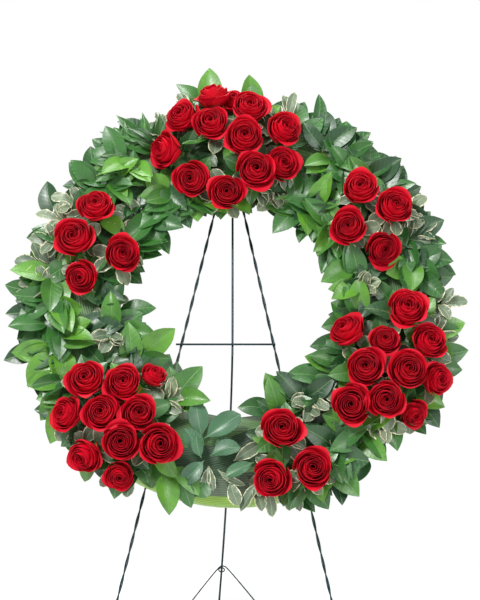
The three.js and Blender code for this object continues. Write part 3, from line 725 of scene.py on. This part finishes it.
def stem_path(rose):
    at, axis = rose["at"], rose["axis"]
    reach = math.hypot(at[0], at[2])
    entry = ENTRY["middle"] + (reach - ENTRY["middle"]) * ENTRY["share"]
    entry = min(max(entry, ENTRY["least"]), ENTRY["greatest"])
    foot = vec(at[0] * entry / reach, 0, at[2] * entry / reach)
    neck = at - 0.6 * HEAD_RADIUS * rose["size"] * axis
    below = at - 1.15 * HEAD_RADIUS * rose["size"] * axis
    below[1] = min(below[1], -(HALF_DEPTH + 12))
    under = [vec(foot[0], -h, foot[2]) for h in (HALF_DEPTH + 8, HALF_DEPTH + 2, HALF_DEPTH - STEM_DEPTH)]
    return [neck, below, *under]


def hip_and_sepals(pile, rose, basis, dice):
    """The green hip below the head and five sepals folded back from it."""
    radius = HEAD_RADIUS * rose["size"]
    at, axis = rose["at"], rose["axis"]
    heights = [-0.92, -0.86, -0.76, -0.66, -0.58]
    widths = [0.09, 0.16, 0.22, 0.24, 0.16]
    path = [at + axis * h * radius for h in heights]
    pile.tube(path, [w * radius for w in widths], 8, (dice.rand(), 0, 0))
    for k in range(5):
        a = 2 * math.pi * (k + dice.uniform(-0.1, 0.1)) / 5
        out = basis[0] * math.cos(a) + basis[1] * math.sin(a)
        side = np.cross(axis, out)
        length = radius * dice.uniform(0.62, 0.85)
        rows = []
        for t in np.linspace(0, 1, 6):
            reach = 0.20 * radius + length * t * 0.85
            drop = -0.64 * radius - 0.10 * radius * math.sin(math.pi * t) + 0.14 * radius * t * t
            half = 0.13 * radius * (math.sin(math.pi * min(1, 0.25 + t * 0.75)) ** 0.8) + 0.15
            middle = at + out * reach + axis * drop
            rows.append([middle - side * half, middle - axis * half * 0.25, middle + side * half])
        grid = np.array(rows)
        pile.sheet(grid, 0.5, np.zeros(grid.shape), (dice.rand(), 0, 0))


def make_roses():
    stems = Pile(WREATH_PLACE)
    for number, rose in enumerate(ROSES, 1):
        dice = np.random.RandomState(SEEDS["rose"] + number)
        radius = HEAD_RADIUS * rose["size"] * HEAD_FLARE
        basis = axes_for(rose["axis"], dice.uniform(0, 6.28))
        squash = vec(dice.uniform(0.95, 1.03), dice.uniform(0.95, 1.03), 1)
        pile = Pile(WREATH_PLACE)
        for i in range(PETALS):
            grid, where = petal_grid(i, radius, dice)
            world = (grid * squash) @ basis + rose["at"]
            t = i / (PETALS - 1)
            thick = 0.35 + 0.15 * t
            pile.sheet(world, thick, where, (dice.rand(), t, 0))
        pile.build(f"rose_petals_{number:02d}", PETAL, "rose_petal", FRONT, [f"rose_{number:02d}"])
        hip_and_sepals(stems, rose, basis, dice)
        stems.tube(curve_through(stem_path(rose), 5), STEM_RADIUS, 8, (dice.rand(), 0, 0))
    stems.build("rose_stems", STEM, "green_leaf", FRONT)


# ---------------------------------------------------------------------- leaves

# Half width along a leaf, as a share of its greatest: place and share.
OUTLINES = {
    "salal": ([0, 0.05, 0.09, 0.16, 0.26, 0.36, 0.47, 0.58, 0.69, 0.79, 0.87, 0.93, 0.97, 1],
              [0.05, 0.05, 0.30, 0.64, 0.88, 0.98, 1.0, 0.96, 0.85, 0.68, 0.47, 0.26, 0.11, 0.01]),
    "ruscus": ([0, 0.05, 0.15, 0.28, 0.42, 0.58, 0.74, 0.88, 1],
               [0.06, 0.14, 0.62, 0.93, 1.0, 0.86, 0.52, 0.18, 0.01]),
    "pittosporum": ([0, 0.06, 0.14, 0.28, 0.45, 0.62, 0.78, 0.89, 0.96, 1],
                    [0.06, 0.08, 0.32, 0.68, 0.93, 1.0, 0.93, 0.70, 0.36, 0.04]),
    "round": ([0, 0.08, 0.16, 0.30, 0.48, 0.65, 0.80, 0.92, 0.98, 1],
              [0.06, 0.08, 0.36, 0.78, 0.98, 1.0, 0.86, 0.54, 0.22, 0.04]),
}
THICK = {"salal": 0.55, "ruscus": 0.5, "pittosporum": 0.5, "round": 0.6}


def leaf_grid(kind, base, tip, width, dice):
    """A leaf from its stalk to its tip, with fold, arch, twist and a wavy edge."""
    span = tip - base
    length = np.linalg.norm(span)
    ahead = span / length
    side = unit(np.cross(ahead, FORWARD))
    up = np.cross(side, ahead)
    roll = math.radians(dice.uniform(-26, 26))
    side, up = turned(side, ahead, roll), turned(up, ahead, roll)
    t, u = unit_grid(*LEAF_POINTS)
    share = np.interp(t[:, 0], *OUTLINES[kind])[:, None]
    half = share * width / 2
    arch = length * dice.uniform(0.05, 0.11) * 4 * t * (1 - t) - length * dice.uniform(0.0, 0.05) * t**3
    bend = length * dice.uniform(-0.07, 0.07) * np.sin(math.pi * t)
    fold = dice.uniform(0.16, 0.36)
    wavy = 1.0 if kind == "pittosporum" else 0.35
    waves = wavy * 1.5 * np.sin(t * dice.uniform(14, 22) + dice.uniform(0, 6) + u) * u**2 * share
    twist = dice.uniform(-0.35, 0.35) * t
    across = u * half
    rise = np.abs(u) ** 1.4 * half * fold + waves
    flat = across * np.cos(twist) - rise * np.sin(twist)
    lifted = across * np.sin(twist) + rise * np.cos(twist)
    grid = (base + ahead * (t * length)[..., None] + side * (flat + bend)[..., None]
            + up * (lifted + arch)[..., None])
    where = np.stack([across, t * length, np.abs(u)], axis=-1)
    return grid, where


def meets_rose(grid):
    """How many of a sheet's points lie inside a rose's head, and how many in front."""
    points = grid.reshape(-1, 3)
    inside, before = 0, 0
    for rose in ROSES:
        offset = points - rose["at"]
        depth = offset @ rose["axis"]
        radius = HEAD_RADIUS * rose["size"]
        near = np.linalg.norm(offset - np.outer(depth, rose["axis"]), axis=1) < 0.92 * radius
        inside += int(np.sum(near & (depth > -0.55 * radius) & (depth < 0.15 * radius)))
        before += int(np.sum(near & (depth >= 0.15 * radius)))
    return inside, before


def form_front(radius):
    """The form's height at a radius, far below it outside the ring."""
    front = SECTION[SECTION[:, 1] > -HALF_DEPTH * 0.5]
    return np.interp(radius, front[:, 0], front[:, 1], left=-99, right=-99)


def through_form(grid):
    """How many of a sheet's points lie inside the wrapped form."""
    points = grid.reshape(-1, 3)
    height = -points[:, 1]
    front = form_front(np.hypot(points[:, 0], points[:, 2]))
    return int(np.sum((height < front - 0.5) & (height > -HALF_DEPTH)))


# How far forward a leaf's tip is tried, and how many of its points may touch the form.
SHIFTS = (0, 6, -6, 12, -12, 18, -18, 26)
MAY_TOUCH_FORM = 8


def place_leaf(piles, kind, base, tip, width, dice, tone=None, may_meet=3):
    """Puts a leaf where it clears the roses and the form, or leaves it out."""
    state = dice.get_state()
    for shift in SHIFTS:
        dice.set_state(state)
        moved = vec(tip[0], tip[1] - shift, tip[2])
        root = base + FORWARD * max(0, shift) * 0.25
        grid, where = leaf_grid(kind, root, moved, width, dice)
        inside, before = meets_rose(grid)
        if inside <= may_meet and before == 0 and through_form(grid) <= MAY_TOUCH_FORM:
            look = (dice.rand() if tone is None else tone, 0, 0)
            piles[kind].sheet(grid, THICK[kind], where, look)
            return True
    return False


def sprig(piles, twigs, line, spine, seed):
    """A twig with a leaf at its end and leaves to either side of it."""
    kind_name, foot_deg, tip_deg, tip_radius, tip_height = line
    kind = KINDS[kind_name]
    dice = np.random.RandomState(SEEDS["sprig"] + seed)
    foot = polar(foot_deg, *SPINE[spine])
    tip = polar(tip_deg, tip_radius, tip_height)
    reach = np.linalg.norm(tip - foot)
    leaf = min(kind["length"], 0.85 * reach)
    end = foot + (tip - foot) * (1 - leaf / reach)
    end[1] -= 3
    tone = dice.uniform(0.05, 1.0)

    def shade():
        return min(1, max(0, tone + dice.uniform(-0.22, 0.22)))

    made = place_leaf(piles, kind_name, end + (foot - end) * 0.1, tip, kind["width"], dice, shade(), 30)
    heading = unit(tip - foot)
    count = 0 if BARE[0] < foot_deg < BARE[1] else kind["side"]
    for i in range(count):
        base = foot + (end - foot) * ((i + 0.6) / (count + 0.2))
        turn = (1 if i % 2 == 0 else -1) * math.radians(kind["spread"] * (0.75 + 0.5 * dice.rand()))
        length = kind["length"] * (0.68 + 0.28 * dice.rand())
        point = base + turned(heading, FORWARD, turn) * length
        point[1] = min(point[1], base[1]) - 2 - 13 * dice.rand()
        width = kind["width"] * length / kind["length"]
        made = place_leaf(piles, kind_name, base, point, width, dice, shade()) or made
    if made:
        root = foot - FORWARD * 8
        twigs.tube(curve_through([root, foot, (foot + end) / 2 + FORWARD, end], 4),
                   [TWIG] * 8 + [TWIG * 0.8] * 4 + [TWIG * 0.6], 6, (dice.rand(), 0, 0))


FILLER_STEP = 1.7


def filler(piles, from_deg, to_deg, spine, dice):
    """Short leaves close to the form, which cover it between the sprigs."""
    near, far, outward = (238, 300, 1) if spine == "outer" else (176, 240, -1)
    for angle in np.arange(from_deg, to_deg, FILLER_STEP):
        angle = angle + dice.uniform(0, FILLER_STEP)
        radius = dice.uniform(near, far)
        lean = math.radians(dice.uniform(-80, 80))
        height = dice.uniform(2, 16)
        share = dice.uniform(0.62, 0.95)
        kind = "pittosporum" if dice.rand() < 0.22 else "salal"
        if BARE[0] < angle < BARE[1]:
            continue
        base = polar(angle, radius, form_front(radius) + 3)
        heading = turned(unit(polar(angle, outward, 0)), FORWARD, lean)
        length = KINDS[kind]["length"] * share
        tip = base + heading * length + FORWARD * height
        place_leaf(piles, kind, base, tip, KINDS[kind]["width"] * share, dice, dice.uniform(0, 0.45))


# Leaves tucked in under one rose.
COLLAR = 6


def collars(piles, part, dice):
    """Leaves tucked in under each rose, whose tips show between the heads."""
    for rose in ROSES:
        if section_at(rose["at"][0], rose["at"][2]) != part:
            continue
        radius = HEAD_RADIUS * rose["size"]
        basis = axes_for(rose["axis"], dice.uniform(0, 6.28))
        under = rose["at"] - rose["axis"] * radius * 1.0
        for k in range(COLLAR):
            a = 2 * math.pi * (k + dice.uniform(-0.3, 0.3)) / COLLAR
            out = basis[0] * math.cos(a) + basis[1] * math.sin(a)
            kind = "pittosporum" if dice.rand() < 0.6 else "salal"
            share = dice.uniform(0.9, 1.15) if kind == "pittosporum" else dice.uniform(0.6, 0.8)
            base = under + out * radius * 0.2
            reach = KINDS[kind]["length"] * share
            rise = rose["axis"] * radius * dice.uniform(-0.1, 0.75)
            tip = base + unit(out * reach + rise) * reach
            place_leaf(piles, kind, base, tip, KINDS[kind]["width"] * share, dice)


def section_at(x, z):
    """The greens' section that stands at a place on the wreath."""
    degrees = math.degrees(math.atan2(z, x)) % 360
    wanted = "outer" if math.hypot(x, z) > FORM_MID - 14 else "inner"
    for k, (_, _, spine, from_deg, to_deg) in enumerate(GREENS):
        if spine == wanted and from_deg - 1 <= degrees <= to_deg + 1:
            return k
    return 0


# Leaves listed one by one over the bare wrap: kind, then x, z and height of the base
# and of the tip, the width and the tone.
HAND_LEAVES = [
    ("round", (-48, -211, 40), (-56, -160, 50), 31, 0.45),
    ("round", (-44, -212, 40), (8, -177, 44), 33, 0.55),
    ("round", (-48, -241, 42), (-72, -200, 50), 27, 0.50),
    ("round", (-48, -242, 50), (-55, -214, 62), 17, 0.75),
    ("round", (-35, -238, 44), (8, -227, 50), 27, 0.70),
    ("round", (-44, -244, 41), (-76, -277, 38), 26, 0.35),
    ("round", (-30, -232, 40), (-6, -214, 44), 20, 0.60),
    ("round", (27, -247, 42), (-13, -268, 46), 21, 0.80),
    ("pittosporum", (-2, -244, 36), (38, -220, 46), 20, 0.4),
    ("salal", (59, -223, 44), (24, -212, 50), 14, 0.95),
    ("pittosporum", (-38, -251, 34), (-45, -288, 32), 14, 0.7),
    ("pittosporum", (-37, -251, 33), (-31, -286, 32), 13, 0.3),
    ("pittosporum", (-25, -256, 34), (14, -279, 36), 10, 0.5),
    ("salal", (-90, -253, 40), (-50, -294, 36), 26, 0.85),
    ("salal", (-84, -262, 36), (-62, -310, 26), 26, 0.4),
    ("pittosporum", (37, -272, 36), (8, -315, 30), 19, 0.2),
    ("pittosporum", (43, -280, 36), (53, -323, 28), 17, 0.35),
    ("pittosporum", (72, -284, 30), (78, -314, 28), 14, 0.4),
    ("pittosporum", (89, -271, 32), (92, -315, 28), 17, 0.3),
    ("pittosporum", (33, -273, 40), (36, -296, 40), 12, 0.9),
    ("salal", (-28, 302, 15), (-40, 376, 30), 40, 0.92),
    ("salal", (14, 300, 16), (22, 364, 30), 38, 0.95),
    ("salal", (-50, 296, 18), (-90, 350, 28), 36, 0.75),
    ("salal", (-30, 190, 34), (-26, 128, 34), 30, 0.7),
    ("salal", (120, 262, 30), (130, 330, 34), 22, 0.25),
    ("pittosporum", (82, 282, 36), (92, 328, 44), 16, 0.4),
    ("pittosporum", (84, 280, 34), (74, 324, 42), 16, 0.6),
    ("pittosporum", (-70, 296, 30), (-88, 330, 34), 18, 0.3),
]


def hand_leaves(piles, part):
    """The listed leaves that belong to one section."""
    dice = np.random.RandomState(SEEDS["hand"])
    for kind, low, high, width, tone in HAND_LEAVES:
        base, tip = vec(low[0], -low[2], low[1]), vec(high[0], -high[2], high[1])
        grid, where = leaf_grid(kind, base, tip, width, dice)
        if section_at(low[0], low[1]) == part:
            piles[kind].sheet(grid, THICK[kind], where, (tone, 0, 0))


LEAF_GROUPS = [
    ("green_leaves", ("salal", "ruscus"), LEAF, "green_leaf"),
    ("variegated_leaves", ("pittosporum",), GREY_LEAF, "variegated_leaf"),
    ("round_leaves", ("round",), ROUND_LEAF, "green_leaf"),
]


def make_greens():
    for part, (node, sprigs, spine, from_deg, to_deg) in enumerate(GREENS):
        dice = np.random.RandomState(SEEDS["greens"] + part)
        groups = {name: Pile(WREATH_PLACE) for name, *_ in LEAF_GROUPS}
        piles = {kind: groups[name] for name, kinds, *_ in LEAF_GROUPS for kind in kinds}
        twigs = Pile(WREATH_PLACE)
        for low, high in ((from_deg, min(to_deg, BARE[0])), (max(from_deg, BARE[1]), to_deg)):
            if high - low > 1:
                arc = [polar(a, *SPINE[spine]) for a in np.linspace(low, high, 24)]
                twigs.tube(arc, SPINE_WIRE * 0.6, 6, (0.5, 0, 0))
        for i, line in enumerate(sprigs):
            if from_deg <= line[1] <= to_deg:
                sprig(piles, twigs, line, spine, 31 * i + part)
        filler(piles, from_deg, to_deg, spine, dice)
        collars(piles, part, dice)
        hand_leaves(piles, part)
        where = node.replace("greens_", "")
        twigs.build(f"twigs_{where}", WOOD, "twig", FRONT, [node])
        for name, _, material, slot in LEAF_GROUPS:
            if groups[name].count:
                groups[name].build(f"{name}_{where}", material, slot, FRONT, [node])


# ------------------------------------------------------------------------ wrap


def on_form(degrees, along, lift):
    """Points on the form: clock angle, distance across its section, and lift."""
    radius = np.interp(along, SECTION_STEPS, SECTION[:, 0])
    height = np.interp(along, SECTION_STEPS, SECTION[:, 1])
    ahead = np.clip(along + 1.5, 0, SECTION_LENGTH)
    behind = np.clip(along - 1.5, 0, SECTION_LENGTH)
    dr = np.interp(ahead, SECTION_STEPS, SECTION[:, 0]) - np.interp(behind, SECTION_STEPS, SECTION[:, 0])
    dh = np.interp(ahead, SECTION_STEPS, SECTION[:, 1]) - np.interp(behind, SECTION_STEPS, SECTION[:, 1])
    size = np.maximum(np.hypot(dr, dh), 1e-6)
    radius = radius - dh / size * lift
    height = height + dr / size * lift
    a = np.radians(degrees)
    return np.stack([radius * np.cos(a), -height, radius * np.sin(a)], axis=-1)


# A blade is its start and end angle, place of its middle across the section at
# each end, its half width at each end, how high it lies, its tone, how grey it is
# and whether its start is cut square.
BLADES = [
    (283, 236, 0.30, 0.34, 66, 56, 1.3, 0.62, 0, 1), (242, 190, 0.40, 0.30, 58, 60, 0.5, 0.40, 0, 0),
    (200, 150, 0.24, 0.34, 56, 54, 0.9, 0.50, 0, 0), (156, 100, 0.42, 0.32, 56, 50, 0.5, 0.40, 0, 0),
    (108, 52, 0.30, 0.40, 52, 56, 0.9, 0.55, 0, 0), (60, 8, 0.38, 0.28, 54, 54, 0.5, 0.40, 0, 0),
    (14, -38, 0.32, 0.40, 56, 52, 0.9, 0.50, 0, 0), (-32, -84, 0.40, 0.34, 52, 56, 0.5, 0.45, 0, 0),
    (292, 240, 0.70, 0.66, 46, 50, 0.7, 0.35, 0.85, 0), (280, 242, 0.44, 0.64, 30, 26, 1.7, 0.02, 0, 0),
    (236, 186, 0.72, 0.66, 52, 50, 1.1, 0.35, 0, 0), (192, 140, 0.70, 0.76, 50, 52, 0.7, 0.50, 0, 0),
    (148, 96, 0.74, 0.68, 50, 50, 1.1, 0.40, 0, 0), (102, 48, 0.70, 0.76, 50, 52, 0.7, 0.55, 0, 0),
    (54, 4, 0.74, 0.68, 50, 50, 1.1, 0.40, 0, 0), (10, -42, 0.70, 0.74, 52, 50, 0.7, 0.45, 0, 0),
    (-36, -84, 0.72, 0.70, 50, 50, 1.1, 0.55, 0, 0), (292, 226, 0.86, 0.87, 26, 24, 1.5, 1.00, 0, 0),
]


def blade(pile, line):
    start, end, mid_a, mid_b, half_a, half_b, lift, tone, grey, square = line
    rows = max(12, int(abs(end - start) * 0.8))
    t, u = unit_grid(rows, BLADE_COLUMNS)
    lead = 1.0 if square else np.minimum(t / 0.10 + 0.35, 1)
    taper = np.clip(np.minimum(lead, (1 - t) / 0.22 + 0.08), 0, 1) ** 0.7
    half = (half_a + (half_b - half_a) * t) * taper
    middle = SECTION_LENGTH * (mid_a + (mid_b - mid_a) * t) + 3.0 * np.sin(t * 5 + start)
    along = np.clip(middle + u * half, 0.5, SECTION_LENGTH - 0.5)
    swell = 0.5 * np.cos(u * math.pi / 2) + 0.4 * np.sin(t * 9 + start) * u
    grid = on_form(start + (end - start) * t, along, lift + swell)
    distance = t * abs(math.radians(end - start)) * FORM_MID
    where = np.stack([u * half, distance, np.abs(u)], axis=-1)
    pile.sheet(grid, 0.4, where, (tone, grey, 0))


# Pins round each edge of the wrap.
PINS = 18
PIN_RADIUS = 0.45


def greening_pins():
    """Small bent wires that hold the wrap's edges to the back of the foam."""
    pile = Pile(WREATH_PLACE)
    dice = np.random.RandomState(SEEDS["pins"])
    for k in range(PINS):
        for radius in (INNER + 11, OUTER - 11):
            angle = 360 * (k + dice.uniform(0, 0.6)) / PINS
            rear = -HALF_DEPTH - 1.2
            spread = math.degrees(5 / radius)
            wire = [polar(angle - spread, radius, rear + 5), polar(angle - spread, radius, rear + 0.8),
                    polar(angle - spread * 0.7, radius, rear), polar(angle + spread * 0.7, radius, rear),
                    polar(angle + spread, radius, rear + 0.8), polar(angle + spread, radius, rear + 5)]
            pile.tube(curve_through(wire, 3), PIN_RADIUS, 6)
    pile.build("greening_pins", ENAMEL, "wire_enamel", FRONT)


def make_wrap():
    pile = Pile(WREATH_PLACE)
    t, u = unit_grid(*WRAP_POINTS)
    edge = BACK_FOLD - 3 + 3 * np.sin(t * 71) + 2 * np.sin(t * 183)
    along = edge + (SECTION_LENGTH - 2 * edge) * (0.5 + 0.5 * u)
    grid = on_form(280 + 359.5 * t, along, 0.0)
    where = np.stack([along, t * RING_LENGTH, np.abs(u)], axis=-1)
    pile.sheet(grid, 0.4, where, (0.3, 0, 0))
    for line in BLADES:
        blade(pile, line)
    pile.build("aspidistra_blades", WRAP, "aspidistra_leaf", FRONT, ["aspidistra_wrap"])
    greening_pins()
    node = frame["nodes"]["foam_ring"]
    node.data.materials.clear()
    node.data.materials.append(FOAM)


# ----------------------------------------------------------------------- easel


def leg_x(foot, z):
    return foot + (APEX[0] - foot) * z / APEX[1]


def rod(name, path, radius, place, body, smooth_steps=0):
    pile = Pile(place)
    points = curve_through(path, smooth_steps) if smooth_steps else path
    pile.tube(points, radius, 12)
    return pile.build(name, ENAMEL, "wire_enamel", body, [name])


# Points of a leg lower than this, in metres, slide along it to the floor.
FOOT_CUT = 0.0016


def twisted_leg(name, foot):
    """Two round wires twisted round each other, cut flat where they stand."""
    pile = Pile(FRAME_PLACE)
    low = vec(leg_x(foot, 0), 0, 0)
    high = vec(leg_x(foot, LEG_TOP), 0, LEG_TOP)
    ahead = unit(high - low)
    side = unit(np.cross(ahead, vec(0, 1, 0)))
    other = np.cross(ahead, side)
    length = np.linalg.norm(high - low)
    stations = np.linspace(0, length, int(length / TWIST_PITCH * 16))
    for half_turn in (0, math.pi):
        angle = 2 * math.pi * stations / TWIST_PITCH + half_turn
        middle = low + np.outer(stations, ahead)
        offset = np.outer(np.cos(angle), side) + np.outer(np.sin(angle), other)
        pile.tube(middle + offset * LEG_WIRE / 2, LEG_WIRE / 2, 8)
    piece = pile.build(name, ENAMEL, "wire_enamel", FRONT, [name])
    slope = FRAME_PLACE.to_3x3() @ Vector(ahead)
    for point in piece.data.vertices:
        if point.co.z < FOOT_CUT:
            point.co -= slope * (point.co.z / slope.z)
    return piece


def back_leg_point(t):
    top = FRAME_PLACE @ Vector((ROD["x"], LEG_WIRE + GAP + HINGE_BAR["wire"] / 2, HINGE_BAR["z"]))
    top = np.array(FLOOR_PLACE.inverted() @ top)
    foot = vec(BACK_FOOT[0], BACK_FOOT[1], 0)
    point = top + (foot - top) * t
    point[0] = top[0] + (foot[0] - top[0]) * max(0, (t - 0.35) / 0.65) ** 1.6
    return point


def eye(centre, radius, first, second, count=20):
    angles = np.linspace(0, 2 * math.pi, count, endpoint=False)
    return centre + radius * (np.outer(np.cos(angles), first) + np.outer(np.sin(angles), second))


def make_back_leg():
    radius = BACK_WIRE / 2
    hinge = back_leg_point(0)
    foot = back_leg_point(1)
    eye_radius = HINGE_BAR["wire"] / 2 + 0.5 + radius
    pile = Pile(FLOOR_PLACE)
    pile.tube(eye(hinge, eye_radius, vec(0, 1, 0), vec(0, 0, 1)), radius, 10, closed=True)
    start = eye_radius / np.linalg.norm(foot - hinge)
    path = [back_leg_point(t) for t in np.linspace(start, 1.0, 40)]
    pile.tube(path, radius, 12)
    pile.build("back_leg", ENAMEL, "wire_enamel", BACK, ["back_leg"])
    make_back_foot(hinge[2])


def make_back_foot(rise):
    radius = VEE["wire"] / 2
    front = BACK_WIRE / 2 + radius + GAP + 0.2
    top, height = VEE["top"] / 2, VEE["height"]

    def at(x, z):
        return vec(x, back_leg_point(1 - z / rise)[1] - front, z)

    left, right = VEE["centre"] - top, VEE["centre"] + top
    path = [at(VEE["left"], 0), at(left + (VEE["left"] - left) * 0.5, height * 0.5),
            at(left - 2, height - 4), at(left + 2.5, height), at(right - 2.5, height),
            at(right + 2, height - 4), at(right + (VEE["right"] - right) * 0.5, height * 0.5),
            at(VEE["right"], 0)]
    pile = Pile(FLOOR_PLACE)
    pile.tube(curve_through(path, 5), radius, 10, flat_z=0.0)
    leg = back_leg_point(1 - (height - 6) / rise)
    tilt = math.radians(-52)
    # The eye round the leg lies in a plane tilted back from upright.
    pile.tube(eye(leg, front + 1.4, vec(1, 0, 0), vec(0, math.cos(tilt), math.sin(tilt))), radius, 8,
              closed=True)
    pile.build("back_foot", ENAMEL, "wire_enamel", BACK, ["back_foot"])


def make_easel():
    twisted_leg("left_leg", LEFT_FOOT)
    twisted_leg("right_leg", RIGHT_FOOT)
    y = -(LEG_WIRE + GAP + CROSSBAR["wire"] / 2)
    rod("crossbar", [vec(x, y, CROSSBAR["z"]) for x in (CROSSBAR["left"], CROSSBAR["right"])],
        CROSSBAR["wire"] / 2, FRAME_PLACE, FRONT)
    inset = LEG_WIRE + GAP
    ends = [leg_x(LEFT_FOOT, TOP_BAR) + inset, leg_x(RIGHT_FOOT, TOP_BAR) - inset]
    rod("top_bar", [vec(x, 0, TOP_BAR) for x in ends], ROD["wire"] / 2, FRAME_PLACE, FRONT)
    rod("centre_rod", [vec(ROD["x"], 0, ROD["bottom"]), vec(ROD["x"], 0, TOP_BAR - ROD["wire"] / 2 - GAP)],
        ROD["wire"] / 2, FRAME_PLACE, FRONT)
    radius = ROD["wire"] / 2
    under = WREATH_AT[2] + INNER - radius - GAP
    x, weld = ROD["x"], -(2 * radius + 2 * GAP)
    hook = [(x, weld, under - 44), (x, weld, under - 26), (x, weld, under - 10), (x, weld - 3, under - 3),
            (x, weld - 10, under), (x, weld - 46, under), (x, weld - 56, under + 4),
            (x, weld - 60, under + 16)]
    rod("wreath_hook", hook, radius, FRAME_PLACE, FRONT, smooth_steps=4)
    y = LEG_WIRE + GAP + HINGE_BAR["wire"] / 2
    half = HINGE_BAR["length"] / 2
    rod("hinge_bar", [vec(ROD["x"] + dx, y, HINGE_BAR["z"]) for dx in (-half, half)],
        HINGE_BAR["wire"] / 2, FRAME_PLACE, FRONT)
    make_back_leg()


# ----------------------------------------------------------------------- stage


def make_floor():
    """A round pale floor that fades out level with the white world."""
    size, sides = 14.0, 96
    points = [(size * math.cos(2 * math.pi * k / sides), size * math.sin(2 * math.pi * k / sides), 0)
              for k in range(sides)]
    mesh = bpy.data.meshes.new("floor")
    mesh.from_pydata(points, [], [list(range(sides))])
    floor = bpy.data.objects.new("floor", mesh)
    bpy.context.scene.collection.objects.link(floor)
    look = Look("floor")
    look.finish(color(0.90, 0.90, 0.90), 0.85)
    radius = look.node("ShaderNodeVectorMath", operation="LENGTH")
    look.link(look.place(), radius.inputs[0])
    far = look.ramp(radius.outputs["Value"], 0.5, 1.6)
    glow = look.node("ShaderNodeEmission")
    glow.inputs["Color"].default_value = color(1, 1, 1)
    glow.inputs["Strength"].default_value = WORLD_LIGHT
    blend = look.node("ShaderNodeMixShader")
    look.link(far, blend.inputs[0])
    look.link(look.shader.outputs[0], blend.inputs[1])
    look.link(glow.outputs[0], blend.inputs[2])
    look.link(blend.outputs[0], look.output.inputs["Surface"])
    mesh.materials.append(look.material)


WORLD_LIGHT = 1.0
AMBIENT = 0.42


def make_world():
    """White all round, which lights less than it shows."""
    world = bpy.data.worlds.new("studio")
    world.use_nodes = True
    tree = world.node_tree
    background = tree.nodes["Background"]
    background.inputs["Color"].default_value = color(1, 1, 1)
    seen = tree.nodes.new("ShaderNodeLightPath")
    strength = tree.nodes.new("ShaderNodeMapRange")
    strength.inputs["To Min"].default_value = AMBIENT
    strength.inputs["To Max"].default_value = WORLD_LIGHT
    tree.links.new(seen.outputs["Is Camera Ray"], strength.inputs["Value"])
    tree.links.new(strength.outputs[0], background.inputs["Strength"])
    bpy.context.scene.world = world
    bpy.context.scene.view_settings.view_transform = "Standard"
    bpy.context.scene.view_settings.look = "None"


def area_light(name, place, aim, size, watts):
    light = bpy.data.lights.new(name, "AREA")
    light.shape = "RECTANGLE"
    light.size, light.size_y = size
    light.energy = watts
    lamp = bpy.data.objects.new(name, light)
    lamp.location = place
    lamp.rotation_euler = (Vector(aim) - Vector(place)).to_track_quat("-Z", "Y").to_euler()
    bpy.context.scene.collection.objects.link(lamp)


def make_lights():
    middle = tuple(WREATH_CENTRE)
    area_light("key", (-1.3, -2.1, 2.2), middle, (0.9, 0.9), 105)
    area_light("fill", (1.9, -1.8, 1.1), middle, (1.2, 1.2), 34)
    area_light("top", (0.2, 0.3, 2.4), middle, (1.2, 1.2), 40)


CAMERA_DISTANCE = 2.3
CAMERA_HEIGHT = 0.28
FOCAL_PIXELS = 1533
PICTURE_HEIGHT = 600
OFF_CENTRE = 5


def make_camera():
    drop = WREATH_CENTRE.z - CAMERA_HEIGHT
    back = math.sqrt(CAMERA_DISTANCE**2 - drop**2)
    data = bpy.data.cameras.new("camera")
    data.sensor_width = 36
    data.lens = FOCAL_PIXELS / PICTURE_HEIGHT * 36
    camera = bpy.data.objects.new("camera", data)
    place = Vector((WREATH_CENTRE.x, WREATH_CENTRE.y - back, CAMERA_HEIGHT))
    camera.location = place
    away = math.atan(OFF_CENTRE / FOCAL_PIXELS)
    pitch = math.atan2(drop, back) + away
    camera.rotation_euler = (math.pi / 2 + pitch, 0, -away)
    bpy.context.scene.collection.objects.link(camera)
    bpy.context.scene.camera = camera


# -------------------------------------------------------------------- assembly

make_camera()
make_world()
make_lights()
make_floor()
make_easel()
make_wrap()
make_roses()
make_greens()
